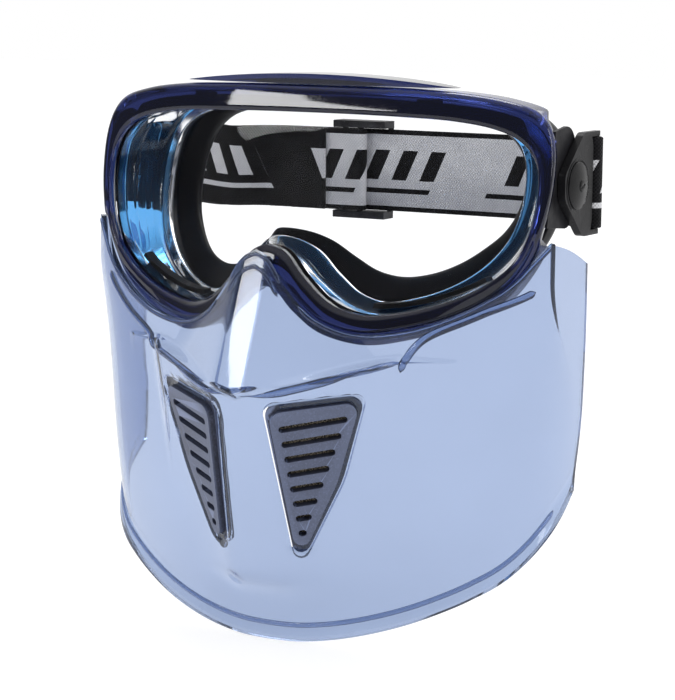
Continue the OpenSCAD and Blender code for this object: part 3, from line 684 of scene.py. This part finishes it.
def make_seal():
    a, b = BACK_RING, SEAL_RING
    start = FRAME_SHARE + SEAL_GAP
    rows = np.stack([share(a, start), share(mix(a, b, -0.02), 0.8), share(mix(a, b, 0.2), 0.97),
                     share(mix(a, b, 0.55), 1), share(mix(a, b, 0.92), 0.95), share(b, 0.85),
                     share(mix(a, b, 0.8), 0.74), share(mix(a, b, 0.5), start)], 1)
    ob = closed_sweep("seal_skin", fillet(rows, [0.8, 5, 5, 5, 4, 3, 4, 1.5], 5))
    even_normals(ob)
    apply_modifiers(ob)
    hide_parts("face_seal")
    return dress(ob, MATERIALS["seal"], "goggles")


make_rim()
make_lens()
make_gasket()
make_inner()
make_seal()

# ---------------------------------------------------------------- face shield


def half_w(z):
    return SHIELD_W - TAPER * np.minimum(z - TAPER_Z, 0) ** 2


def mid_y(z):
    return -SHIELD_REACH + BOW * (z - BOW_Z) ** 2


def bezier(a, b, c, t):
    return (1 - t) ** 2 * a + 2 * t * (1 - t) * b + t * t * c


def plan(q, z):
    """x and y at a distance q along the shield's plan curve: a front, a corner and a side wall."""
    k = half_w(z) / SHIELD_W
    y1 = mid_y(z) + Q_FRONT ** 2 / (2 * SHIELD_R)
    y2 = y1 + (SHIELD_W - Q_FRONT) * Q_FRONT / SHIELD_R
    t = (q - Q_FRONT) / (Q_CORNER - Q_FRONT)
    y3 = mix(WALL_Y[0], WALL_Y[1], smooth(WALL_Z[0], WALL_Z[1], z))
    front = q <= Q_FRONT
    corner = q <= Q_CORNER
    x = np.where(front, q * k, np.where(corner, k * bezier(Q_FRONT, SHIELD_W, SHIELD_W, t), SHIELD_W * k))
    y = np.where(front, mid_y(z) + q * q / (2 * SHIELD_R),
                 np.where(corner, bezier(y1, y2, y3, t), y3 * (Q_END - q) / (Q_END - Q_CORNER)))
    return x, y


def crease_line(x):
    """The height of the crease between the nose and the muzzle."""
    return CREASE_Z + CREASE_RISE * np.minimum(x, CREASE_X)


def nose_y(x, z):
    flank = soft_pos(np.abs(x) - NOSE_FLAT, NOSE_BLEND)
    return NOSE_TOP[0] + NOSE_TILT * (z - NOSE_TOP[1]) + NOSE_SLOPE * flank


def muzzle_y(x, z):
    flank = soft_pos(np.abs(x) - RIDGE_HALF, RIDGE_BLEND)
    return (MUZZLE_TOP[0] - MUZZLE_TILT * (z - MUZZLE_TOP[1]) + VENT_SLOPE * flank
            + CHIN_BACK * smooth(CHIN_Z[0], CHIN_Z[1], z)
            + CHEEK_BACK * smooth(CHEEK_X[0], CHEEK_X[1], np.abs(x)))


def shield_point(q, z):
    x, y = plan(np.abs(q), z)
    w = smooth(crease_line(x) - CREASE_BLEND, crease_line(x) + CREASE_BLEND, z)
    y = np.where(x > NOSE_SIDE, y, soft_min(y, mix(muzzle_y(x, z), nose_y(x, z), w), SHIELD_BLEND))
    return np.stack([np.where(q < 0, -x, x), y, z], -1)


def row_z(q, v):
    """Rows run from the top edge (0) to just above the crease (1), just below it (2) and the bottom (3)."""
    a, b, c = spline(q, SHIELD_TOP), crease_line(q), spline(q, SHIELD_BOTTOM)
    above, below = b + CREASE_BAND, b - CREASE_BAND
    lower = np.where(v <= 2, mix(above, below, v - 1), mix(below, c, v - 2))
    return np.where(v <= 1, mix(a, above, v), lower)


def vent_to_world(p, left):
    """Points in a vent's own frame, moved to the model's frame."""
    c, s = math.cos(VENT_PITCH), math.sin(VENT_PITCH)
    x, y, z = p[..., 0], p[..., 1] * c - p[..., 2] * s, p[..., 1] * s + p[..., 2] * c
    c, s = math.cos(VENT_YAW), math.sin(VENT_YAW)
    out = np.stack([RIDGE_HALF + x * c - y * s, MUZZLE_TOP[0] + x * s + y * c, MUZZLE_TOP[1] + z], -1)
    if left:
        out[..., 0] *= -1
    return out


def round_corner(a, b, c, r):
    """An arc of radius r at corner b of the outline a, b, c."""
    u, v = (a - b) / np.linalg.norm(a - b), (c - b) / np.linalg.norm(c - b)
    half = math.acos(max(-1, min(1, float(u @ v)))) / 2
    m = b + (u + v) / np.linalg.norm(u + v) * r / math.sin(half)
    s, e = b + u * r / math.tan(half), b + v * r / math.tan(half)
    a0, a1 = math.atan2(*(s - m)[::-1]), math.atan2(*(e - m)[::-1])
    turn = (a1 - a0 + 3 * math.pi) % (2 * math.pi) - math.pi
    return [m + r * np.array([math.cos(a0 + turn * i / 7), math.sin(a0 + turn * i / 7)]) for i in range(8)]


def vent_outline(g):
    """The right vent's outline in its own plane, grown by g."""
    s = 1.25 * g
    corners = ((1.6 - g, -2.2 + s), (31.4 + s, 2 + s), (24.6 + s, -26), (12.2, -55.5 - 2.2 * g))
    p = [np.array(v) for v in corners]
    radii = [4, 3.5, 40, 3]
    out = []
    for i in range(4):
        out += round_corner(p[i - 1], p[i], p[(i + 1) % 4], radii[i])
    return np.array(out)


def outline_distance(px, pz, poly):
    """Signed distance to a closed outline, negative inside."""
    best = np.full(px.shape, 1e9)
    inside = np.zeros(px.shape, bool)
    for i in range(len(poly)):
        a, b = poly[i - 1], poly[i]
        d = b - a
        if d @ d < 1e-12:
            continue
        t = clamp(((px - a[0]) * d[0] + (pz - a[1]) * d[1]) / (d @ d), 0, 1)
        best = np.minimum(best, np.hypot(px - a[0] - t * d[0], pz - a[1] - t * d[1]))
        cross = (a[1] > pz) != (b[1] > pz)
        with np.errstate(divide="ignore", invalid="ignore"):
            at = a[0] + (pz - a[1]) * d[0] / np.where(d[1] == 0, 1e-12, d[1])
        inside ^= cross & (px < at)
    return np.where(inside, -best, best)


def world_to_vent(p):
    """Points in the model's frame, moved to the right vent's own frame."""
    q = p - np.array([RIDGE_HALF, MUZZLE_TOP[0], MUZZLE_TOP[1]])
    c, s = math.cos(VENT_YAW), math.sin(VENT_YAW)
    x, y, z = q[..., 0] * c + q[..., 1] * s, -q[..., 0] * s + q[..., 1] * c, q[..., 2]
    c, s = math.cos(VENT_PITCH), math.sin(VENT_PITCH)
    return np.stack([x, y * c + z * s, -y * s + z * c], -1)


def lip_height(q, z):
    """How far the rolled lip stands out at a distance along the curve and a height."""
    return LIP_FLARE * smooth(7, 0, z - spline(np.abs(q), SHIELD_BOTTOM)) * smooth(106, 88, np.abs(q))


POCKET_DEPTH, POCKET_WALL, POCKET_REACH = 0.9, (3.4, 2.4), 6
# grille opening, then the seat for its flange: growth of the outline, and from and to across the wall
VENT_CUTS = ((0.25, -8, 6), (2.2, 1.3, 7))


def vent_cutter(left, grow, y0, y1):
    """A plate of the vent's outline, for cutting into the shell."""
    o = vent_outline(grow)
    m = len(o)
    pts = np.concatenate([np.stack([o[:, 0], np.full(m, y), o[:, 1]], 1) for y in (y0, y1)])
    ends = [tuple(range(m)), tuple(range(2 * m - 1, m - 1, -1))]
    wall = [(i, (i + 1) % m, m + (i + 1) % m, m + i) for i in range(m)]
    return new_mesh("cutter", vent_to_world(pts, left), ends + wall, False)


def make_shield():
    half = np.concatenate([np.linspace(0, CREASE_X, 58), np.linspace(CREASE_X, Q_CORNER, 40)[1:],
                           np.linspace(Q_CORNER, Q_END, 8)[1:]])
    cols = np.concatenate([-half[:0:-1], half])
    v = np.concatenate([np.linspace(0, 1, 30), np.linspace(1, 2, 9)[1:], np.linspace(2, 3, 92)[1:]])
    Q, V = np.meshgrid(cols, v)
    Z = row_z(np.abs(Q), V)
    P = shield_point(Q, Z)
    du, dv = np.gradient(P, axis=1), np.gradient(P, axis=0)
    N = np.cross(dv, du)
    N /= np.linalg.norm(N, axis=-1, keepdims=True)
    if N[len(v) // 2, len(cols) // 2, 1] > 0:
        N = -N
    off = lip_height(Q, Z)
    # shallow pockets round the vents
    local = world_to_vent(np.stack([np.abs(P[..., 0]), P[..., 1], P[..., 2]], -1))
    d = outline_distance(local[..., 0], local[..., 2], vent_outline(0.0))
    near = np.abs(local[..., 1]) < POCKET_REACH
    off -= POCKET_DEPTH * smooth(POCKET_WALL[0], POCKET_WALL[1], d) * near
    outer = P + off[..., None] * N
    inner = outer - SHIELD_T * N
    h, w = Q.shape
    n = h * w
    faces = []
    for j in range(h - 1):
        for i in range(w - 1):
            a = j * w + i
            faces.append((a, a + w, a + w + 1, a + 1))
            faces.append((a + n, a + n + 1, a + n + w + 1, a + n + w))
    rim = (list(range(w)) + [j * w + w - 1 for j in range(1, h)]
           + [(h - 1) * w + i for i in range(w - 2, -1, -1)] + [j * w for j in range(h - 2, 0, -1)])
    for k in range(len(rim)):
        a, b = rim[k], rim[(k + 1) % len(rim)]
        faces.append((a, b, b + n, a + n))
    ob = new_mesh("shield_shell", np.concatenate([outer.reshape(-1, 3), inner.reshape(-1, 3)]), faces)
    cutters = [vent_cutter(left, *cut) for left in (False, True) for cut in VENT_CUTS]
    for c in cutters:
        modifier(ob, "BOOLEAN", operation="DIFFERENCE", object=c, solver="EXACT")
        apply_modifiers(ob)
        bpy.data.objects.remove(c)
    modifier(ob, "BEVEL", width=0.5 * MM, segments=3, limit_method="ANGLE", angle_limit=math.radians(55),
             use_clamp_overlap=True)
    even_normals(ob)
    apply_modifiers(ob)
    ob.data.shade_smooth()
    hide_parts("face_shield")
    return dress(ob, MATERIALS["ice"], "shield")


make_shield()


def surface_frame(q, z):
    """Points on the shield's outer face with their outward normals."""
    p = shield_point(q, z)
    n = np.cross(shield_point(q, z + 0.2) - p, shield_point(q + 0.2, z) - p)
    n /= np.linalg.norm(n, axis=-1, keepdims=True)
    return p, np.where((n[..., 1:2] > 0), -n, n)


ROOT_D = 0.6        # how deep a bead's foot sits in the wall


def bead(name, points, width, height, taper=1.6):
    """A raised moulded line on the shield's outer face through points (q, z)."""
    pts = np.array(points, float)
    # cut the corners three times, so that the line is smooth
    for _ in range(3):
        mid = 0.5 * (pts[:-1] + pts[1:])
        cut = np.empty((2 * len(mid), 2))
        cut[0::2], cut[1::2] = 0.5 * (pts[:-1] + mid), 0.5 * (mid + pts[1:])
        pts = np.concatenate([pts[:1], cut, pts[-1:]])
    qz, s = resample(pts, 1.0)
    p, n = surface_frame(qz[:, 0], qz[:, 1])
    p = p + lip_height(qz[:, 0], qz[:, 1])[:, None] * n
    t = np.gradient(p, axis=0)
    t /= np.linalg.norm(t, axis=1)[:, None]
    side = np.cross(t, n)
    k = smooth(0, taper, s) * smooth(0, taper, s[-1] - s) * 0.92 + 0.08
    rows = []
    for a in np.linspace(0, 180, 9):
        a = math.radians(a)
        across, out = width / 2 * math.cos(a) * k, (height * math.sin(a)) * k - 0.1
        rows.append(p + side * across[:, None] + n * out[:, None])
    rows.append(p - side * (width / 3 * k)[:, None] - n * ROOT_D)
    rows.append(p + side * (width / 3 * k)[:, None] - n * ROOT_D)
    ob = open_sweep(name, np.stack(rows, 1))
    return dress(ob, MATERIALS["ice"], "shield")


def along_edge(q, edge, up):
    """Points (q, z) at a height over the shield's top or bottom edge."""
    return np.stack([q, spline(np.abs(q), edge) + up], 1)


RIGHT_BRACE = [(85, -23), (73.5, -27.8), (66, -31.8), (57.5, -35.6),
               (53, -38.2), (50, -41.5), (48, -45), (47, -49)]
LEFT_BRACE = [(-77, -26), (-71, -32), (-62.5, -37.5), (-56.5, -40.5),
              (-51.5, -42.8), (-48, -45.8), (-47, -49)]
CREASE = [(2.5, -57.2), (9, -56.6), (15, -55.3), (23.5, -52.9), (32, -50.2), (40, -47.6)]

bead("right_brace_rib", RIGHT_BRACE, 2.6, 1.2)
bead("left_brace_rib", LEFT_BRACE, 2.6, 1.2)
for sign, word in ((1, "right"), (-1, "left")):
    bead(word + "_top_bead", along_edge(sign * np.linspace(15, 94, 40), SHIELD_TOP, -1.0), 1.4, 0.6)
bead("right_crease_roll", CREASE, 3.0, 1.0, 14)
bead("left_crease_roll", [(-q, z) for q, z in CREASE[:5]], 3.0, 1.0, 12)
for drop, word in ((1.2, "nose_cap_lip"), (5.2, "nose_cap_step")):
    bead(word, along_edge(np.linspace(-9.5, 9.5, 30), SHIELD_TOP, -drop), 1.5, 0.7, 1.5)
bead("lower_lip_bead", along_edge(np.linspace(-92, 92, 90), SHIELD_BOTTOM, 5.0), 1.8, 0.7)

# ---------------------------------------------------------------- strap

WRAP_R = BAR_R + 0.15 + STRAP_T / 2


def arc(cx, cy, r, a0, a1, n):
    turns = [math.radians(mix(a0, a1, i / n)) for i in range(n + 1)]
    return [(cx + r * math.cos(a), cy + r * math.sin(a)) for a in turns]


SOFT_EDGE = 0.35
SEWN_END = 22           # length of the sewn end, which has the outer face's look on both faces
TAIL_FROM = 130         # how far the woven motif has run, past the main run, where the tail starts


def webbing(name, route, s0=0.0, step=1.5, plain=0.0):
    """A flat band with soft edges along a route in plan, with cloth coordinates in units of 10 mm.

    s0 is where the motif starts, and the first plain mm have the outer face's look on both faces.
    """
    p, s = resample(route, step)
    t = np.gradient(p, axis=0)
    t /= np.linalg.norm(t, axis=1)[:, None]
    o = np.stack([t[:, 1], -t[:, 0]], 1)
    z = mix(PIVOT_Z, STRAP_BACK_Z, smooth(14, 50, p[:, 1]))
    hw, ht = STRAP_W / 2, STRAP_T / 2
    face = np.linspace(-hw + SOFT_EDGE, hw - SOFT_EDGE, 21)
    prof = ([(-ht, w) for w in face] + [(-0.5 * ht, hw), (0.5 * ht, hw)]
            + [(ht, w) for w in face[::-1]] + [(0.5 * ht, -hw), (-0.5 * ht, -hw)])
    rows = np.stack([np.stack([p[:, 0] + a * o[:, 0], p[:, 1] + a * o[:, 1], z + b], 1) for a, b in prof], 1)
    ob = open_sweep(name, rows)
    me = ob.data
    n, m = rows.shape[:2]
    uv = me.uv_layers.new(name="cloth")
    side = me.attributes.new("reverse", "FLOAT", "FACE")
    along, across = np.repeat((s + s0) / 10, m), np.tile([b / 10 for _, b in prof], n)
    a_side = np.tile([1.0 if a < 0 else 0.0 for a, _ in prof], n)
    for poly in me.polygons:
        facing = round(float(np.mean(a_side[list(poly.vertices)])))
        side.data[poly.index].value = facing if s[poly.vertices[0] // m] > plain else 0.0
        for li in poly.loop_indices:
            vi = me.loops[li].vertex_index
            uv.data[li].uv = (along[vi], across[vi])
    return ob


RIGHT_TURN, LEFT_TURN = 28, 12      # degrees inwards at which the webbing leaves each clip
RIGHT_CORNER, LEFT_CORNER, RETURN_CORNER = 45, 26, 19.5


def by_bar(turn, side, along):
    """A point beside a bar, in the turned direction of the webbing."""
    c, s = math.cos(math.radians(turn)), math.sin(math.radians(turn))
    return (BAR_X + side * c - along * s, BAR_Y + side * s + along * c)


def corner_mid(p, turn, r, y):
    """The middle of the arc that takes the webbing from a turned line through p to the rear run at y."""
    c, s = math.cos(math.radians(turn)), math.sin(math.radians(turn))
    return p[0] - (y - r * (1 - s) - p[1]) / c * s - r * c, y - r


right_mid = corner_mid(by_bar(RIGHT_TURN, -WRAP_R, 0), RIGHT_TURN, RIGHT_CORNER, STRAP_BACK)
left_mid = corner_mid(by_bar(LEFT_TURN, WRAP_R, 0), LEFT_TURN, LEFT_CORNER, STRAP_BACK)
return_mid = corner_mid(by_bar(LEFT_TURN, -WRAP_R, 0), LEFT_TURN, RETURN_CORNER, RETURN_Y)
MAIN = ([by_bar(RIGHT_TURN, -0.6, 17), by_bar(RIGHT_TURN, -0.6, 10.5), by_bar(RIGHT_TURN, 0.9, 6)]
        + arc(BAR_X, BAR_Y, WRAP_R, RIGHT_TURN, RIGHT_TURN - 180, 16)
        + arc(right_mid[0], right_mid[1], RIGHT_CORNER, RIGHT_TURN, 90, 20)
        + arc(-left_mid[0], left_mid[1], LEFT_CORNER, 90, 180 - LEFT_TURN, 20)
        + arc(-BAR_X, BAR_Y, WRAP_R, 180 - LEFT_TURN, 270, 8))
RETURN = (arc(-BAR_X, BAR_Y, WRAP_R, 270, 360 - LEFT_TURN, 8)
          + arc(-return_mid[0], return_mid[1], RETURN_CORNER, 180 - LEFT_TURN, 90, 20)
          + [(SLIDER_X - 13, RETURN_Y)])
main_len = float(np.linalg.norm(np.diff(np.array(MAIN), axis=0), axis=1).sum())
strap_main = webbing("strap_main_run", MAIN, plain=SEWN_END)
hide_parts("strap")
dress(strap_main, MATERIALS["webbing"], "harness")
strap_return = webbing("strap_return_run", RETURN, main_len)
dress(strap_return, MATERIALS["webbing"])
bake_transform(strap_return)
FOLD_R = SLIDER_BAR_R + 0.1 + STRAP_T / 2
TAIL = ([(SLIDER_X - 12, TAIL_Y + FOLD_R)] + arc(SLIDER_X, TAIL_Y, FOLD_R, 90, -90, 12)
        + [(SLIDER_X - 16, TAIL_Y - FOLD_R)])
tail = webbing("strap_tail_fold", TAIL, main_len + TAIL_FROM, 0.6)
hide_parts("strap_tail")
dress(tail, MATERIALS["webbing"], "slider")

# ------------------------------------------------- hard parts taken from the CAD, with rounded edges

for node, mat, slot, body, width in (
        ("top_vent_cover", "navy", "frame_navy", "goggles", 0.3),
        ("top_vent_filter", "mesh", "vent_filter", "goggles", 0.15),
        ("vent_baffles", "trim", "trim_black", "goggles", 0.2),
        ("left_lower_vent", "trim", "trim_black", "goggles", 0.2),
        ("right_lower_vent", "trim", "trim_black", "goggles", 0.2),
        ("left_lug", "lug", "lug_black", "goggles", 0.3),
        ("right_lug", "lug", "lug_black", "goggles", 0.3),
        ("left_pivot_pin", "pin", "pin_black", "goggles", 0.2),
        ("right_pivot_pin", "pin", "pin_black", "goggles", 0.2),
        ("left_washer", "steel", "washer_steel", "goggles", 0.05),
        ("right_washer", "steel", "washer_steel", "goggles", 0.05),
        ("left_strap_clip", "clip", "clip_black", "harness", 0.35),
        ("right_strap_clip", "clip", "clip_black", "harness", 0.35),
        ("strap_stitching", "thread", "thread", "harness", 0.05),
        ("strap_adjuster", "slider", "slider_black", "slider", 0.35),
        ("left_vent_grille", "grille", "grille_slate", "shield", 0.25),
        ("right_vent_grille", "grille", "grille_slate", "shield", 0.25),
        ("left_vent_filter", "filter", "vent_filter", "shield", 0.1),
        ("right_vent_filter", "filter", "vent_filter", "shield", 0.1),
        ("left_vent_retainer", "retainer", "retainer_slate", "shield", 0.15),
        ("right_vent_retainer", "retainer", "retainer_slate", "shield", 0.15)):
    dress(softened(node, node + "_soft", width), MATERIALS[mat], body)

# the screw head's radii and how far each ring stands below its crown
SCREW_R = np.array([0, 0.5, 0.9, 1.2, 1.45, 1.6, 1.75, 1.95, 2.1, 2.2, 2.2])
SCREW_DROP = np.array([0, 0, 0.01, 0.02, 0.04, 0.06, 0.09, 0.16, 0.28, 0.5, 1.6])
SCREW_CROWN, SLOT_DEPTH, SLOT_TURN = 0.95, 0.45, (0.94, 0.34)
RIDGE_R, RIDGE_HALF_W, RIDGE_OUT = 8.6, 0.4, 0.35


def pin_screw(sign, word):
    """A slotted screw head in the cap and a raised arc on the clip."""
    a = np.linspace(0, 2 * math.pi, 97)[:-1]
    R, A = np.meshgrid(SCREW_R, a, indexing="ij")
    y, z = R * np.cos(A), R * np.sin(A)
    off_slot = np.abs(z * SLOT_TURN[0] - y * SLOT_TURN[1])
    x = (SCREW_CROWN - SCREW_DROP)[:, None] - SLOT_DEPTH * smooth(0.4, 0.22, off_slot) * smooth(1.8, 1.6, R)
    pts = np.stack([sign * (CAP_X + x), PIVOT_Y + y, PIVOT_Z + z], -1)
    n = len(a)
    faces = [(i * n + j, i * n + (j + 1) % n, (i + 1) * n + (j + 1) % n, (i + 1) * n + j)
             for i in range(len(SCREW_R) - 1) for j in range(n)]
    ob = new_mesh(word + "_cap_screw", pts.reshape(-1, 3), faces)
    even_normals(ob)
    dress(ob, MATERIALS["pin"], "goggles")
    t = np.linspace(math.radians(-150), math.radians(60), 60)
    tube = np.linspace(0, 2 * math.pi, 13)[:-1]
    rows = []
    for u in tube:
        radius = RIDGE_R + RIDGE_HALF_W * np.cos(u)
        rows.append(np.stack([sign * (CLIP_OUT + RIDGE_OUT * np.sin(u) - 0.05 + 0 * t),
                              PIVOT_Y + radius * np.sin(t), PIVOT_Z + radius * np.cos(t)], -1))
    rows = np.stack(rows, 1)
    dress(open_sweep(word + "_cap_ridge", rows), MATERIALS["clip"], "harness")


pin_screw(1, "right")
pin_screw(-1, "left")

# ---------------------------------------------------------------- floor, light and camera

FLOOR_HALF = 4000
corners = [(-FLOOR_HALF, -FLOOR_HALF, 0), (FLOOR_HALF, -FLOOR_HALF, 0), (FLOOR_HALF, FLOOR_HALF, 0),
           (-FLOOR_HALF, FLOOR_HALF, 0)]
floor = new_mesh("floor", corners, [(0, 1, 2, 3)], False)
floor.location.z = cad_box[0][2]
floor_look = Nodes("floor_pale")
floor_tone = [(0.3, (0.33, 0.33, 0.335)), (0.7, (0.36, 0.36, 0.365))]
floor_look.to(floor_look.ramp(floor_look.noise(3, 2), floor_tone), "Base Color")
# mostly its own light, so that the ground stays white round the object
floor_look.set(Roughness=0.6, Specular_IOR_Level=0.1, Emission_Color=(1, 1, 1, 1), Emission_Strength=0.76)
floor.data.materials.append(floor_look.mat)

# a pale room behind and above, and a darker one in front, so black parts stay dark
world = bpy.data.worlds.new("studio")
bpy.context.scene.world = world
world.use_nodes = True
room = world.node_tree
background = next(n for n in room.nodes if n.type == "BACKGROUND")
direction = room.nodes.new("ShaderNodeTexCoord")
parts = room.nodes.new("ShaderNodeSeparateXYZ")
room.links.new(direction.outputs["Generated"], parts.inputs["Vector"])


def world_span(output, a, b, lo, hi):
    """A part of the direction mapped smoothly from a..b to the strengths lo..hi."""
    n = room.nodes.new("ShaderNodeMapRange")
    n.interpolation_type = "SMOOTHSTEP"
    for k, v in (("From Min", a), ("From Max", b), ("To Min", lo), ("To Max", hi)):
        n.inputs[k].default_value = v
    room.links.new(output, n.inputs["Value"])
    return n.outputs["Result"]


DARK, BEHIND, ABOVE = 0.16, 1.0, 0.9
lit = room.nodes.new("ShaderNodeMath")
lit.operation = "MAXIMUM"
room.links.new(world_span(parts.outputs["Y"], -0.3, 0.35, DARK, BEHIND), lit.inputs[0])
room.links.new(world_span(parts.outputs["Z"], 0.5, 0.95, DARK, ABOVE), lit.inputs[1])
room.links.new(lit.outputs["Value"], background.inputs["Strength"])
background.inputs["Color"].default_value = (1.0, 1.0, 1.0, 1)


def area_light(name, at, aim, size, power):
    data = bpy.data.lights.new(name, "AREA")
    data.shape = "RECTANGLE"
    data.size, data.size_y = size
    data.energy = power
    ob = bpy.data.objects.new(name, data)
    bpy.context.scene.collection.objects.link(ob)
    ob.location = at
    ob.rotation_euler = (Vector(aim) - Vector(at)).to_track_quat("-Z", "Y").to_euler()


# name, place and aim in metres, size in metres and power in watts
for light in (
        ("key", (-0.4, 0.6, 1.5), (0, -0.03, -0.03), (0.7, 0.7), 9),
        ("front", (-0.721, -1.141, 0.704), (0, -0.03, -0.03), (0.75, 0.17), 5),
        ("fill", (1.35, -0.35, 0.6), (0, -0.03, -0.05), (0.25, 0.9), 3.5),
        ("back", (0.2, 1.2, 0.9), (0, -0.03, -0.03), (1.0, 0.6), 3)):
    area_light(*light)

# the view: direction, distance in metres, image points to a millimetre at the target, and roll
AZ, EL, DIST, SCALE, ROLL = math.radians(29.0), math.radians(8.6), 0.850, 3.0, math.radians(0.5)
SENSOR, LONG_SIDE = 36.0, 700
TARGET = Vector((0.0126, -0.034, -0.047))
fwd = Vector((-math.sin(AZ) * math.cos(EL), math.cos(AZ) * math.cos(EL), -math.sin(EL)))
cam_data = bpy.data.cameras.new("camera")
cam = bpy.data.objects.new("camera", cam_data)
bpy.context.scene.collection.objects.link(cam)
cam.location = TARGET - fwd * DIST
cam.rotation_euler = (fwd.to_track_quat("-Z", "Y") @ Quaternion((0, 0, 1), ROLL)).to_euler()
cam_data.sensor_width = SENSOR
cam_data.lens = SCALE * DIST * 1000 * SENSOR / LONG_SIDE
cam_data.clip_start = 0.01
cam_data.clip_end = 50
bpy.context.scene.camera = cam
bpy.context.scene.view_settings.view_transform = "Standard"
